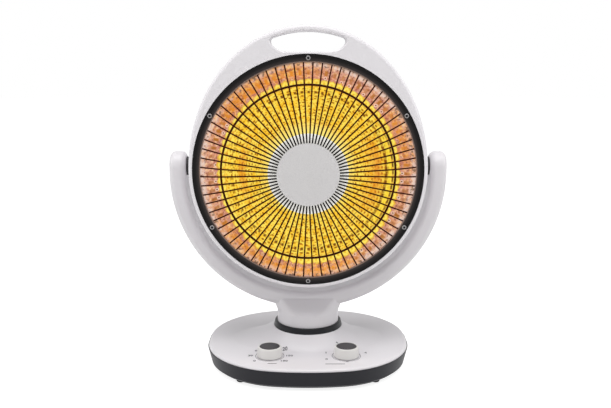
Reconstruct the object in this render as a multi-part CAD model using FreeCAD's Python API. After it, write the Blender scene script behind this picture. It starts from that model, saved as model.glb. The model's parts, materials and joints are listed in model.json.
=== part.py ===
import FreeCAD, Part
import math
import os

# A radiant dish heater: a round head with a glowing reflector behind a wire guard, held in a C-shaped
# yoke that swings on an oval base. Millimetres, +Z up, front is -Y, origin on the floor under the swivel.

V = FreeCAD.Vector
UP = V(0, 0, 1)
RIGHT = V(1, 0, 0)
BACK = V(0, 1, 0)

# Walls and clearances
wall = 2.5
seat_gap = 0.1
press_gap = 0.05
run_gap = 0.08
free_gap = 0.4
pick_gap = 0.01

# Screws, all of one size
screw_r = 1.5
screw_gap = 0.3
screw_head_r = 2.8
screw_head_h = 2.0
boss_wall = 2.2

# Base outline, tray and cover
base_half_width = 132.0
base_half_depth = 116.0
base_side_r = 103.5
base_front_r = 290.0
foot_h = 4.0
foot_r = 5.5
foot_chamfer = 1.0
foot_nib_r = 3.0
foot_x = 84.0
foot_y = 76.5
seam_z = 27.0
tray_draft = 5.5
tray_edge = 4.0
tray_slant = 1.5
cover_h = 3.5
cover_edge_r = 2.8
cover_setback = 1.0
lip_h = 2.5
lip_wall = 1.5
lip_gap = 0.9
base_screw_x = 98.0
base_screw_y = 30.0
base_screw_len = 14.0

# Mound of the cover that carries the swivel
mound_r = 45.8
mound_half_width = 100.0
mound_half_depth = 60.0
mound_h = 18.5
mound_foot_slope = 0.2
mound_sections = 6
mound_overrun = 1.1

# Swivel: collar, thrust washer, bush, spindle
collar_h = 7.0
collar_foot_r = 45.3
collar_top_r = 43.9
collar_chamfer = 1.0
washer_h = 1.5
washer_bore_r = 20.5
spindle_r = 15.0
spindle_bore_r = 11.0
spindle_flange_r = 30.0
spindle_flange_h = 3.0
spindle_screw_count = 4
spindle_screw_circle_r = 23.0
spindle_screw_bite = 2.0
spindle_end_z = 25.0
bush_wall = 2.0
bush_flange_r = 20.0
bush_below = 1.5
clip_h = 1.2
clip_groove = 1.0
clip_r = 19.0

# Swing drive: motor, crank, slotted lever
swing_limit = math.radians(40)
crank_offset = 24.0
crank_plate_h = 2.6
crank_margin = 3.0
crank_pin_r = 2.0
crank_shaft_r = 3.0
lever_h = 2.5
lever_hub_h = 4.0
lever_hub_wall = 4.5
lever_half_width = 8.0
lever_slot_play = 3.0
lever_end = 2.0
lever_corner_r = 3.0
motor_r = 20.0
motor_h = 9.7
motor_gap = 0.4
motor_ear = 9.0
motor_ear_h = 1.5
motor_screw_depth = 3.5

# Ballast, terminal block and cord gland
ballast_h = 4.0
ballast_inset = 18.0
ballast_clear = 2.0
block_x = -62.0
block_y = 36.0
block_length = 34.0
block_width = 16.0
block_h = 11.0
block_wells = 4
block_well_r = 2.6
block_well_depth = 5.0
gland_z = 16.0
gland_bore_r = 3.7
gland_sleeve_r = 5.5
gland_flange_r = 7.5
gland_flange_h = 1.5
gland_recess = 2.0
gland_pad = 6.5

# Controls: timer on the left, selector on the right
knob_x = 48.0
knob_y = -70.0
knob_r = 16.0
knob_top_r = 14.8
knob_h = 12.1
knob_lift = 1.0
knob_edge_r = 1.2
knob_edge_share = 0.7
knob_wall = 2.2
knob_post_r = 5.5
knob_crown = 4.0
knob_cap_r = 12.8
knob_cap_h = 1.4
knob_cap_sink = 0.3
knob_cap_chamfer = 0.4
shaft_r = 3.0
shaft_foot = 12.0
control_neck_r = 4.5
control_boss_h = 4.0
control_ear = 8.4
control_ear_h = 1.5
control_screw_depth = 3.0
timer_length = 36.0
timer_width = 32.0
timer_h = 16.0
timer_corner_r = 3.0
switch_r = 15.0
switch_h = 14.5
switch_tab_angles = (-60, -20, 20, 60)
blade_width = 6.3
blade_h = 0.8
blade_length = 7.0
blade_rise = 3.0
blade_root = 0.75

# Tip-over switch and its plunger
tip_y = -74.0
tip_length = 22.0
tip_width = 11.0
tip_h = 11.7
plunger_r = 4.0
plunger_flange_r = 6.5
plunger_flange_h = 1.5
plunger_travel = 5.0

# Yoke and neck
arm_rise = 9.0
yoke_gap = 11.0
yoke_thick = 21.0
yoke_depth = 38.0
yoke_corner_r = 7.0
yoke_screw_angles = (14, 45, 76)
yoke_screw_bite = 11.0
neck_r = 40.5
neck_h = 35.9
neck_straight = 20.0
neck_top_half_width = 48.0
neck_top_half_depth = 18.5
neck_top_corner_r = 17.0
neck_front_angle = 22.0
neck_side_angle = 10.0

# Tilt pivots
pin_r = 5.0
pin_flange_r = 9.0
pin_flange_h = 3.0
pin_tail = 8.0
pin_root = 12.0
tilt_washer_h = 3.6
tilt_washer_r = 12.0
tilt_boss_r = 12.5
tilt_boss_root = 6.0

# Head housing
bezel_width = 5.0
handle_rise = 29.0
handle_bar = 7.0
handle_depth = 14.0
head_front_y = -65.0
head_rim_depth = 37.0
head_split_y = -45.0
head_front_edge_r = 4.0
head_rear_edge_r = 8.0
slot_half_width = 47.0
slot_flat = 26.0
slot_corner_r = 22.0
slot_clear = 2.6
slot_end_r = 5.0
slot_edge_r = 1.5
dome_step = 4.5
dome_front_y = -40.0
dome_corner_y = 4.0
dome_corner_r = 44.0
dome_corner_angle = math.radians(75)
dome_back_y = 60.0
vent_count = 20
vent_inner_r = 70.0
vent_outer_r = 104.0
vent_width = 5.0
rear_screw_count = 4
rear_screw_inset = 10.5
rear_screw_grip = 15.0
rear_screw_bite = 9.0

# Guard: rim, wires, centre cap
rim_outer_r = 140.0
rim_width = 9.5
rim_depth = 4.0
rim_plate_h = 1.1
rim_skirt = 2.4
rim_chamfer = 0.6
rim_screw_count = 6
rim_screw_inset = 4.7
rim_screw_len = 12.0
ledge_h = 3.0
ledge_show = 2.0
wire_count = 72
wire_r = 0.9
ring_wire_r = 1.1
ring_cover = 1.4
hoop_r = 104.5
hoop_wire_r = 1.3
hoop_rise = 9.0
hoop_lap = 0.5
wire_inner_r = 30.0
wire_inner_rise = 21.5
cap_r = 37.2
cap_edge_h = 1.2
cap_crown = 2.2
hub_r = 48.0
hub_h = 1.5
hub_boss_r = 12.0
guard_screw_bite = 2.0

# Reflector and heating element
sheet = 0.8
facet_sectors = 72
facet_rings = 8
dish_hole_r = 24.0
dish_band_width = 15.0
dish_gap = 1.5
dish_seat = 4.5
dish_depth = 62.0
socket_r = 20.5
socket_front = 8.0
socket_flange_r = 30.0
socket_flange_h = 4.9
socket_tail_r = 8.0
socket_tail = 10.0
former_r = 17.0
former_length = 57.0
former_cap_r = 20.0
former_cap_h = 4.0
former_spigot_r = 9.0
former_spigot = 7.0
coil_wire_r = 1.2
coil_gap = 0.4
coil_turns = 11
coil_pitch = 4.0
coil_start = 5.0
coil_step = 0.25
coil_samples = 36
lug_r = 1.5
lug_length = 6.0
strap_h = 1.5
strap_half_width = 12.0
strap_half_span = 44.0
strap_foot = 14.0
strap_boss_h = 6.0
strap_screw_depth = 4.0
cutout_r = 7.0
cutout_h = 5.0
cutout_z = 27.0
cutout_ear = 4.0
tab_width = 3.0

# Levels that several pieces share
floor_z = foot_h + wall
cover_z = seam_z + cover_h
under_z = cover_z - wall
mound_z = cover_z + mound_h
ballast_z = floor_z + ballast_h
gland_seat_y = base_half_depth - gland_recess
neck_z = mound_z + washer_h + seat_gap
head_r = rim_outer_r + bezel_width
head_top = head_r + handle_rise
slot_bottom = rim_outer_r + slot_clear
slot_top = head_top - handle_bar
cavity_top = head_top - handle_depth
dome_r = head_r - dome_step
rear_screw_circle_r = dome_r - rear_screw_inset
yoke_inner_r = head_r + yoke_gap
yoke_outer_r = yoke_inner_r + yoke_thick
yoke_mid_r = yoke_inner_r + yoke_thick / 2
yoke_z = neck_z + neck_h + yoke_mid_r
pivot_z = yoke_z + arm_rise
neck_top_z = yoke_z - yoke_inner_r - yoke_corner_r
ear_z = under_z - control_boss_h
bush_r = spindle_r + run_gap + bush_wall
bush_end_z = mound_z - wall - bush_below
crank_r = crank_offset * math.sin(swing_limit)
crank_z = ballast_z + motor_h + motor_gap
rim_inner_r = rim_outer_r - rim_width
rim_screw_circle_r = rim_outer_r - rim_screw_inset
ring_r = rim_inner_r + ring_cover
ledge_inner_r = rim_inner_r - ledge_show
dish_rim_r = ledge_inner_r - dish_gap
dish_band_r = dish_rim_r - dish_band_width
dish_flange_r = ledge_inner_r + dish_seat
ledge_y = head_front_y + rim_depth + sheet + seat_gap
ring_y = ledge_y - sheet - seat_gap - ring_wire_r
dish_rim_y = ledge_y - sheet
dish_apex_y = dish_rim_y + dish_depth
socket_flange_y = dish_apex_y - dish_depth * (dish_hole_r / dish_rim_r) ** 2 + sheet + seat_gap
former_y = socket_flange_y - socket_front
strap_y = socket_flange_y + socket_flange_h
strap_foot_y = dome_back_y - wall - strap_boss_h
tilt_boss_x = yoke_inner_r - tilt_washer_h - 2 * seat_gap
wire_slope = (wire_inner_rise - hoop_rise) / (hoop_r - wire_inner_r)
hub_wire_y = head_front_y - wire_inner_rise + (hub_r - wire_inner_r) * wire_slope
hub_front_y = hub_wire_y + wire_r * math.hypot(1, wire_slope) + seat_gap
cap_back_y = head_front_y - wire_inner_rise - wire_r - seat_gap


def rod_z(r, z0, z1, x=0, y=0):
    return Part.makeCylinder(r, z1 - z0, V(x, y, z0), UP)


def rod_x(r, x0, x1, y=0, z=pivot_z):
    return Part.makeCylinder(r, x1 - x0, V(x0, y, z), RIGHT)


def rod_y(r, y0, y1, x=0, z=pivot_z):
    return Part.makeCylinder(r, y1 - y0, V(x, y0, z), BACK)


def block(x0, x1, y0, y1, z0, z1):
    return Part.makeBox(x1 - x0, y1 - y0, z1 - z0, V(x0, y0, z0))


def prism(wire, along):
    return Part.Face(wire).extrude(along)


def turned_z(profile, x=0, y=0):
    points = [V(x + r, y, z) for r, z in profile]
    return Part.Face(Part.makePolygon(points + points[:1])).revolve(V(x, y, 0), UP, 360)


def turned_y(profile):
    points = [V(r, y, pivot_z) for r, y in profile]
    return Part.Face(Part.makePolygon(points + points[:1])).revolve(V(0, 0, pivot_z), BACK, 360)


def ring_of(shape, count, first=0.0):
    """Copies of a shape, evenly turned about the head's axis."""
    copies = []
    for index in range(count):
        copy = shape.copy()
        copy.rotate(V(0, 0, pivot_z), BACK, -first - 360 * index / count)
        copies.append(copy)
    return copies


def both_sides(shape):
    return [shape, shape.mirror(V(0, 0, 0), RIGHT)]


def edges_at_z(shape, z):
    return [e for e in shape.Edges if all(abs(point.z - z) < pick_gap for point in e.discretize(5))]


def edges_at_y(shape, y):
    return [e for e in shape.Edges if all(abs(point.y - y) < pick_gap for point in e.discretize(5))]


def screw_up(x, y, z, length):
    """A pan screw that points up, its head's seat at height z."""
    return rod_z(screw_head_r, z - screw_head_h, z, x, y).fuse(rod_z(screw_r, z, z + length, x, y))


def screw_back(x, y, z, length):
    """A pan screw that points backwards, its head's seat at depth y."""
    return rod_y(screw_head_r, y - screw_head_h, y, x, z).fuse(rod_y(screw_r, y, y + length, x, z))


def screw_forward(x, y, z, length):
    """A pan screw that points to the front, its head's seat at depth y."""
    return rod_y(screw_head_r, y, y + screw_head_h, x, z).fuse(rod_y(screw_r, y - length, y, x, z))


# Base

def base_oval(z, inset):
    """Outline of the base: flat front and rear arcs, tight corners and short straight sides, all tangent."""
    side_x = base_half_width - base_side_r
    front_y = base_front_r - base_half_depth
    span = base_front_r - base_side_r
    side_y = math.sqrt(span ** 2 - side_x ** 2) - front_y
    corner_r = base_side_r - inset
    turn = math.acos(side_x / span)

    def on_corner(sx, sy, angle):
        return V(sx * (side_x + corner_r * math.cos(angle)), sy * (side_y + corner_r * math.sin(angle)), z)

    edges = []
    for sx, sy in ((1, -1), (1, 1), (-1, 1), (-1, -1)):
        stops = [on_corner(sx, sy, angle) for angle in (turn, turn / 2, 0)]
        if sx == sy:
            stops.reverse()
        edges.append(Part.Arc(*stops).toShape())
        if sx == -sy:
            edges.append(Part.LineSegment(stops[2], on_corner(sx, -sy, 0)).toShape())
        else:
            crown = V(0, sy * (base_half_depth - inset), z)
            edges.append(Part.Arc(stops[2], crown, on_corner(-sx, sy, turn)).toShape())
    return Part.Wire(edges)


def tray_inset(z):
    return tray_draft * (seam_z - z) / (seam_z - foot_h)


def foot_places():
    return [(sx * foot_x, sy * foot_y) for sx in (-1, 1) for sy in (-1, 1)]


def base_screw_places():
    return [(sx * base_screw_x, sy * base_screw_y) for sx in (-1, 1) for sy in (-1, 1)]


def base_tray():
    edge_z = foot_h + tray_edge
    rings = [base_oval(foot_h, tray_draft + tray_edge), base_oval(edge_z, tray_inset(edge_z))]
    rings.append(base_oval(seam_z, 0))
    body = Part.makeLoft(rings, True, True)
    slant_z = edge_z + tray_slant
    hollow = [base_oval(floor_z, tray_draft + tray_edge + tray_slant)]
    hollow += [base_oval(slant_z, tray_inset(slant_z) + wall), base_oval(seam_z, wall)]
    body = body.cut(Part.makeLoft(hollow, True, True))
    for x, y in base_screw_places():
        body = body.fuse(rod_z(screw_head_r + screw_gap + boss_wall, foot_h, floor_z + wall, x, y))
        body = body.cut(rod_z(screw_head_r + screw_gap, foot_h, floor_z, x, y))
        body = body.cut(rod_z(screw_r + screw_gap, floor_z, floor_z + wall, x, y))
    for x, y in foot_places():
        body = body.cut(rod_z(foot_nib_r + press_gap, foot_h, floor_z, x, y))
    body = body.cut(rod_z(plunger_r + run_gap, foot_h, floor_z, 0, tip_y))
    pad_r = gland_flange_r + press_gap
    body = body.fuse(rod_y(pad_r, gland_seat_y - gland_pad, gland_seat_y, 0, gland_z))
    body = body.cut(rod_y(pad_r, gland_seat_y, base_half_depth + wall, 0, gland_z))
    return body.cut(rod_y(gland_sleeve_r + press_gap, gland_seat_y - gland_pad, gland_seat_y, 0, gland_z))


def base_feet():
    profile = [(0, 0), (foot_r - foot_chamfer, 0), (foot_r, foot_chamfer), (foot_r, foot_h)]
    profile += [(foot_nib_r, foot_h), (foot_nib_r, floor_z), (0, floor_z)]
    return Part.Compound([turned_z(profile, x, y) for x, y in foot_places()])


def base_screws():
    return Part.Compound([screw_up(x, y, floor_z, base_screw_len) for x, y in base_screw_places()])


def ballast_plate():
    plate = prism(base_oval(floor_z, ballast_inset), UP * ballast_h)
    post_r = screw_head_r + screw_gap + boss_wall
    holes = [rod_z(post_r + ballast_clear, floor_z, ballast_z, x, y) for x, y in base_screw_places()]
    holes.append(rod_z(plunger_flange_r + ballast_clear, floor_z, ballast_z, 0, tip_y))
    holes += [rod_z(screw_r + press_gap, floor_z, ballast_z, x, crank_offset) for x in motor_screw_xs()]
    return plate.cut(Part.Compound(holes))


def mound(inset):
    """Trumpet-shaped rise from the flat of the cover up to the collar, wider to the sides than in depth."""
    rings = []
    for index in range(mound_sections):
        share = mound_overrun * index / (mound_sections - 1)
        climb = (1 - share) * (mound_foot_slope + (1 - mound_foot_slope) * (1 - share))
        half_width = mound_r + (mound_half_width - mound_r) * share - inset
        half_depth = mound_r + (mound_half_depth - mound_r) * share - inset
        centre = V(0, 0, cover_z + mound_h * climb - inset)
        rings.append(Part.Wire([Part.Ellipse(centre, half_width, half_depth).toShape()]))
    return Part.makeLoft(rings, True, False)


def control_places():
    """Centre and ear reach of the timer, the selector and the tip-over switch."""
    timer = (-knob_x, knob_y, timer_length / 2)
    selector = (knob_x, knob_y, switch_r)
    return [timer, selector, (0, tip_y, tip_length / 2)]


def control_screw_places():
    places = []
    for x, y, reach in control_places():
        places += [(x + side * (reach + control_ear / 2), y) for side in (-1, 1)]
    return places


def base_cover():
    body = prism(base_oval(seam_z, cover_setback), UP * cover_h)
    body = body.makeFillet(cover_edge_r, edges_at_z(body, cover_z))
    body = body.fuse(mound(0))
    hollow = prism(base_oval(seam_z, cover_setback + wall), UP * (under_z - seam_z)).fuse(mound(wall))
    body = body.cut(hollow)
    lip_z = seam_z - lip_h
    lip_inset = wall + lip_gap
    lip = prism(base_oval(lip_z, lip_inset), UP * (cover_z - wall / 2 - lip_z))
    lip = lip.cut(prism(base_oval(lip_z, lip_inset + lip_wall), UP * (cover_z - lip_z)))
    body = body.fuse(lip)
    for x, y in base_screw_places():
        body = body.fuse(rod_z(screw_r + boss_wall, floor_z + wall, cover_z - wall / 2, x, y))
        body = body.cut(rod_z(screw_r + press_gap, floor_z + wall, floor_z + base_screw_len, x, y))
    for x, y in control_screw_places():
        body = body.fuse(rod_z(screw_r + boss_wall, ear_z, cover_z - wall / 2, x, y))
        body = body.cut(rod_z(screw_r + press_gap, ear_z, ear_z + control_screw_depth, x, y))
    for side in (-1, 1):
        body = body.cut(rod_z(control_neck_r + screw_gap, under_z, cover_z, side * knob_x, knob_y))
    return body.cut(rod_z(bush_r + press_gap, under_z, mound_z))


def cord_gland():
    y0 = gland_seat_y - gland_pad - gland_flange_h
    y1 = gland_seat_y + gland_flange_h
    body = rod_y(gland_sleeve_r, y0, y1, 0, gland_z)
    body = body.fuse(rod_y(gland_flange_r, y0, gland_seat_y - gland_pad, 0, gland_z))
    body = body.fuse(rod_y(gland_flange_r, gland_seat_y, y1, 0, gland_z))
    return body.cut(rod_y(gland_bore_r, y0, y1, 0, gland_z))


def terminal_block():
    half = block_length / 2
    top = ballast_z + block_h
    body = block(block_x - half, block_x + half, block_y, block_y + block_width, ballast_z, top)
    pitch = block_length / block_wells
    for index in range(block_wells):
        x = block_x - half + pitch * (index + 0.5)
        body = body.cut(rod_z(block_well_r, top - block_well_depth, top, x, block_y + block_width / 2))
    return body


# Swivel and swing drive

def swivel_collar():
    bore = neck_r + free_gap
    top = mound_z + collar_h
    profile = [(bore, mound_z), (collar_foot_r, mound_z), (collar_top_r, top - collar_chamfer)]
    return turned_z(profile + [(collar_top_r - collar_chamfer, top), (bore, top)])


def thrust_washer():
    ring = rod_z(neck_r - wall, mound_z, mound_z + washer_h)
    return ring.cut(rod_z(washer_bore_r, mound_z, mound_z + washer_h))


def swivel_bush():
    top = mound_z + washer_h
    body = rod_z(bush_r, bush_end_z, top).fuse(rod_z(bush_flange_r, mound_z, top))
    return body.cut(rod_z(spindle_r + run_gap, bush_end_z, top))


def spindle_screw_places():
    places = []
    for index in range(spindle_screw_count):
        turn = math.radians(360 * (index + 0.5) / spindle_screw_count)
        places.append((spindle_screw_circle_r * math.cos(turn), spindle_screw_circle_r * math.sin(turn)))
    return places


def clip_top_z():
    return bush_end_z - 2 * seat_gap


def swivel_spindle():
    flange_z = neck_z + wall
    top = flange_z + spindle_flange_h
    body = rod_z(spindle_r, spindle_end_z, top).fuse(rod_z(spindle_flange_r, flange_z, top))
    groove = rod_z(spindle_r, clip_top_z() - clip_h, clip_top_z())
    groove = groove.cut(rod_z(spindle_r - clip_groove, clip_top_z() - clip_h, clip_top_z()))
    body = body.cut(groove).cut(rod_z(spindle_bore_r, spindle_end_z, top))
    for x, y in spindle_screw_places():
        body = body.cut(rod_z(screw_r + screw_gap, flange_z, top, x, y))
    return body


def spindle_screws():
    seat = neck_z + wall + spindle_flange_h
    depth = spindle_flange_h + spindle_screw_bite
    screws = []
    for x, y in spindle_screw_places():
        screw = rod_z(screw_head_r, seat, seat + screw_head_h, x, y)
        screws.append(screw.fuse(rod_z(screw_r, seat - depth, seat, x, y)))
    return Part.Compound(screws)


def spindle_clip():
    z0 = clip_top_z() - clip_h
    ring = rod_z(clip_r, z0, clip_top_z())
    return ring.cut(rod_z(spindle_r - clip_groove + press_gap, z0, clip_top_z()))


def motor_screw_xs():
    reach = motor_r + motor_ear / 2
    return (-reach, reach)


def swing_motor():
    body = rod_z(motor_r, ballast_z, ballast_z + motor_h, 0, crank_offset)
    half = motor_r + motor_ear
    ear_y = motor_ear / 2
    ears = block(-half, half, crank_offset - ear_y, crank_offset + ear_y, ballast_z, ballast_z + motor_ear_h)
    body = body.fuse(ears)
    for x in motor_screw_xs():
        body = body.cut(rod_z(screw_r + screw_gap, ballast_z, ballast_z + motor_ear_h, x, crank_offset))
    return body.cut(rod_z(crank_shaft_r + run_gap, ballast_z + wall, ballast_z + motor_h, 0, crank_offset))


def motor_screws():
    seat = ballast_z + motor_ear_h
    screws = []
    for x in motor_screw_xs():
        screw = rod_z(screw_head_r, seat, seat + screw_head_h, x, crank_offset)
        depth = motor_ear_h + motor_screw_depth
        screws.append(screw.fuse(rod_z(screw_r, seat - depth, seat, x, crank_offset)))
    return Part.Compound(screws)


def swing_crank():
    top = crank_z + crank_plate_h
    plate = rod_z(crank_r + crank_margin, crank_z, top, 0, crank_offset)
    shaft = rod_z(crank_shaft_r, ballast_z + wall + seat_gap, crank_z, 0, crank_offset)
    pin = rod_z(crank_pin_r, top, spindle_end_z + lever_h - free_gap, 0, crank_offset + crank_r)
    return plate.fuse([shaft, pin])


def swing_lever():
    """Ring on the spindle with an arm whose slot takes the crank's pin; the slot leaves the pin side play."""
    z0 = spindle_end_z
    z1 = z0 + lever_h
    hub = rod_z(spindle_r + lever_hub_wall, z0, z1 + lever_hub_h)
    slot_half = crank_pin_r + lever_slot_play
    slot_near = crank_offset * math.cos(swing_limit) - crank_pin_r - free_gap
    slot_far = crank_offset + crank_r + crank_pin_r + lever_slot_play
    arm = block(-lever_half_width, lever_half_width, 0, slot_far + lever_end, z0, z1)
    body = hub.fuse(arm)
    ends = [e for e in body.Edges if e.BoundBox.YMin > slot_far and e.BoundBox.ZLength > lever_h - pick_gap]
    body = body.makeFillet(lever_corner_r, ends)
    body = body.cut(block(-slot_half, slot_half, slot_near, slot_far, z0, z1))
    body = body.cut(rod_z(spindle_r + press_gap, z0, z1 + lever_hub_h))
    screw_z = z1 + lever_hub_h / 2
    reach = spindle_r + lever_hub_wall
    return body.cut(rod_x(screw_r + press_gap, -reach, reach, 0, screw_z))


def lever_screws():
    z = spindle_end_z + lever_h + lever_hub_h / 2
    screw = rod_x(screw_r, spindle_r + seat_gap, spindle_r + lever_hub_wall, 0, z)
    return Part.Compound(both_sides(screw))


# Controls

def control_ears(x, y, reach):
    half = reach + control_ear
    ears = block(x - half, x + half, y - control_ear / 2, y + control_ear / 2, ear_z - control_ear_h, ear_z)
    for side in (-1, 1):
        hole_x = x + side * (reach + control_ear / 2)
        ears = ears.cut(rod_z(screw_r + screw_gap, ear_z - control_ear_h, ear_z, hole_x, y))
    return ears


def blade(x, y, z, turn):
    """A push-on tab that stands out towards the back, turned about its control's axis."""
    tab = block(-blade_width / 2, blade_width / 2, 0, blade_length, z, z + blade_h)
    tab.rotate(V(0, 0, 0), UP, turn)
    tab.translate(V(x, y, 0))
    return tab


def timer_unit():
    x = -knob_x
    z0 = under_z - timer_h
    half_l = timer_length / 2
    half_w = timer_width / 2
    body = block(x - half_l, x + half_l, knob_y - half_w, knob_y + half_w, z0, under_z)
    uprights = [e for e in body.Edges if e.BoundBox.ZLength > timer_h - pick_gap]
    body = body.makeFillet(timer_corner_r, uprights)
    tabs = [blade(x + side * half_l / 2, knob_y + half_w, z0 + blade_rise, 0) for side in (-1, 1)]
    neck = rod_z(control_neck_r, under_z, cover_z, x, knob_y)
    body = body.fuse([control_ears(x, knob_y, half_l), neck] + tabs)
    return body.cut(rod_z(shaft_r + run_gap, under_z - shaft_foot, cover_z, x, knob_y))


def selector_switch():
    z0 = under_z - switch_h
    body = rod_z(switch_r, z0, under_z, knob_x, knob_y)
    tabs = []
    root_r = switch_r - blade_root
    for turn in switch_tab_angles:
        angle = math.radians(turn)
        root_x = knob_x - root_r * math.sin(angle)
        root_y = knob_y + root_r * math.cos(angle)
        tabs.append(blade(root_x, root_y, z0 + blade_rise, turn))
    neck = rod_z(control_neck_r, under_z, cover_z, knob_x, knob_y)
    body = body.fuse([control_ears(knob_x, knob_y, switch_r), neck] + tabs)
    return body.cut(rod_z(shaft_r + run_gap, under_z - shaft_foot, cover_z, knob_x, knob_y))


def control_screws():
    seat = ear_z - control_ear_h
    depth = control_ear_h + control_screw_depth - seat_gap
    return Part.Compound([screw_up(x, y, seat, depth) for x, y in control_screw_places()])


def tip_switch():
    half_l = tip_length / 2
    half_w = tip_width / 2
    body = block(-half_l, half_l, tip_y - half_w, tip_y + half_w, under_z - tip_h, under_z)
    return body.fuse(control_ears(0, tip_y, half_l))


def tip_plunger():
    flange_z = floor_z + plunger_travel + free_gap
    stem = rod_z(plunger_r, 0, under_z - tip_h - free_gap, 0, tip_y)
    return stem.fuse(rod_z(plunger_flange_r, flange_z, flange_z + plunger_flange_h, 0, tip_y))


def knob_level():
    return cover_z + knob_lift


def knob(side):
    """Drafted cup with a rounded rim, a sunk crown for its insert and a post on the shaft."""
    z0 = knob_level()
    z1 = z0 + knob_h
    inner_r = knob_r - knob_wall
    crown_z = z1 - knob_crown
    cap_seat = z1 - knob_cap_h - knob_cap_sink
    profile = [(shaft_r + press_gap, z0), (knob_post_r, z0), (knob_post_r, crown_z), (inner_r, crown_z)]
    profile += [(inner_r, z0), (knob_r, z0), (knob_top_r, z1), (knob_cap_r + press_gap, z1)]
    profile += [(knob_cap_r + press_gap, cap_seat), (shaft_r + press_gap, cap_seat)]
    body = turned_z(profile, side * knob_x, knob_y)
    seat_r = knob_cap_r + press_gap
    rim = [e for e in edges_at_z(body, z1) if e.BoundBox.XLength > knob_top_r + seat_r]
    return body.makeFillet(min(knob_edge_r, (knob_top_r - seat_r) * knob_edge_share), rim)


def knob_cap(side):
    z0 = knob_level() + knob_h - knob_cap_h - knob_cap_sink
    z1 = z0 + knob_cap_h
    profile = [(0, z0), (knob_cap_r, z0), (knob_cap_r, z1 - knob_cap_chamfer)]
    profile += [(knob_cap_r - knob_cap_chamfer, z1), (0, z1)]
    return turned_z(profile, side * knob_x, knob_y)


def control_shaft(side):
    top = knob_level() + knob_h - knob_cap_h - knob_cap_sink - seat_gap
    return rod_z(shaft_r, under_z - shaft_foot + seat_gap, top, side * knob_x, knob_y)


# Yoke

def rounded_rect(centre, half_x, half_y, r):
    """Level outline with its first edge on the right-hand side, running anticlockwise."""
    bend = r * (1 - math.sqrt(0.5))
    steps = []
    for sx, sy in ((1, 1), (-1, 1), (-1, -1), (1, -1)):
        side_point = V(sx * half_x, sy * (half_y - r), 0)
        end_point = V(sx * (half_x - r), sy * half_y, 0)
        middle = V(sx * (half_x - bend), sy * (half_y - bend), 0)
        first, last = (side_point, end_point) if sx == sy else (end_point, side_point)
        steps.append((first, middle, last))
    edges = []
    for index, (first, middle, last) in enumerate(steps):
        start = steps[index - 1][2]
        edges.append(Part.LineSegment(centre + start, centre + first).toShape())
        edges.append(Part.Arc(centre + first, centre + middle, centre + last).toShape())
    return Part.Wire(edges)


def neck_circle(z, r):
    """Circle in eight arcs that pair with the sides and corners of a rounded rectangle."""
    side = neck_side_angle
    front = neck_front_angle
    stops = [-side, side, 90 - front, 90 + front, 180 - side]
    stops += [180 + side, 270 - front, 270 + front, 360 - side]

    def at(angle):
        return V(r * math.cos(math.radians(angle)), r * math.sin(math.radians(angle)), z)

    arcs = [Part.Arc(at(a), at((a + b) / 2), at(b)) for a, b in zip(stops, stops[1:])]
    return Part.Wire([arc.toShape() for arc in arcs])


def neck_form(inset):
    """Round column on the collar that leans back and flares out into the yoke's band."""
    flare_z = neck_z + neck_straight
    top = V(0, 0, neck_top_z)
    top_corner = neck_top_corner_r - inset
    head = rounded_rect(top, neck_top_half_width - inset, neck_top_half_depth - inset, top_corner)
    flare = Part.makeLoft([neck_circle(flare_z, neck_r - inset), head], True, True)
    return rod_z(neck_r - inset, neck_z + inset, flare_z).fuse(flare)


def yoke_form(inset):
    """C-shaped band of rounded section, straight arms and full-round tips, with the neck below."""
    half_thick = (yoke_outer_r - yoke_inner_r) / 2 - inset
    half_depth = yoke_depth / 2 - inset
    corner = yoke_corner_r - inset

    def section(side, z):
        return Part.Face(rounded_rect(V(side * yoke_mid_r, 0, z), half_thick, half_depth, corner))

    band = section(1, yoke_z).revolve(V(0, 0, yoke_z), BACK, 180)
    pieces = [neck_form(inset)]
    for side in (-1, 1):
        pieces.append(section(side, yoke_z).extrude(UP * arm_rise))
        reach = yoke_outer_r + wall
        rear_half = block(-reach, reach, 0, yoke_depth, pivot_z - wall, pivot_z + wall)
        half_section = section(side, pivot_z).common(rear_half).Faces[0]
        pieces.append(half_section.revolve(V(0, 0, pivot_z), RIGHT, 180))
    return band.fuse(pieces).removeSplitter()


def yoke_screw_places():
    places = []
    for angle in yoke_screw_angles:
        turn = math.radians(angle)
        for side in (-1, 1):
            places.append((side * yoke_mid_r * math.sin(turn), yoke_z - yoke_mid_r * math.cos(turn)))
    return places


def yoke_screw_seat():
    return yoke_depth / 2 - screw_head_h - screw_gap


def yoke_shell():
    shell = yoke_form(0).cut(yoke_form(wall))
    seat = yoke_screw_seat()
    half = yoke_depth / 2
    boss_r = screw_head_r + screw_gap + boss_wall / 2
    bosses = [rod_y(boss_r, wall / 2 - half, half - wall / 2, x, z) for x, z in yoke_screw_places()]
    shell = shell.fuse(bosses)
    cuts = []
    for x, z in yoke_screw_places():
        cuts.append(rod_y(screw_head_r + screw_gap, seat, half + wall, x, z))
        cuts.append(rod_y(screw_r + screw_gap, 0, seat, x, z))
        cuts.append(rod_y(screw_r + press_gap, -yoke_screw_bite - seat_gap, 0, x, z))
    cuts += both_sides(rod_x(pin_r + run_gap, yoke_inner_r - wall, yoke_inner_r + 2 * wall))
    cuts.append(rod_z(spindle_r + press_gap, neck_z, neck_z + wall))
    depth = spindle_screw_bite + seat_gap
    for x, y in spindle_screw_places():
        cuts.append(rod_z(screw_r + press_gap, neck_z + wall - depth, neck_z + wall, x, y))
    return shell.cut(cuts)


def yoke_half(shell, side):
    reach = yoke_outer_r + wall
    near = -2 * neck_r if side < 0 else 0
    return shell.common(block(-reach, reach, near, near + 2 * neck_r, 0, pivot_z + yoke_depth))


def yoke_screws():
    seat = yoke_screw_seat()
    length = seat + yoke_screw_bite
    return Part.Compound([screw_forward(x, seat, z, length) for x, z in yoke_screw_places()])


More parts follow.
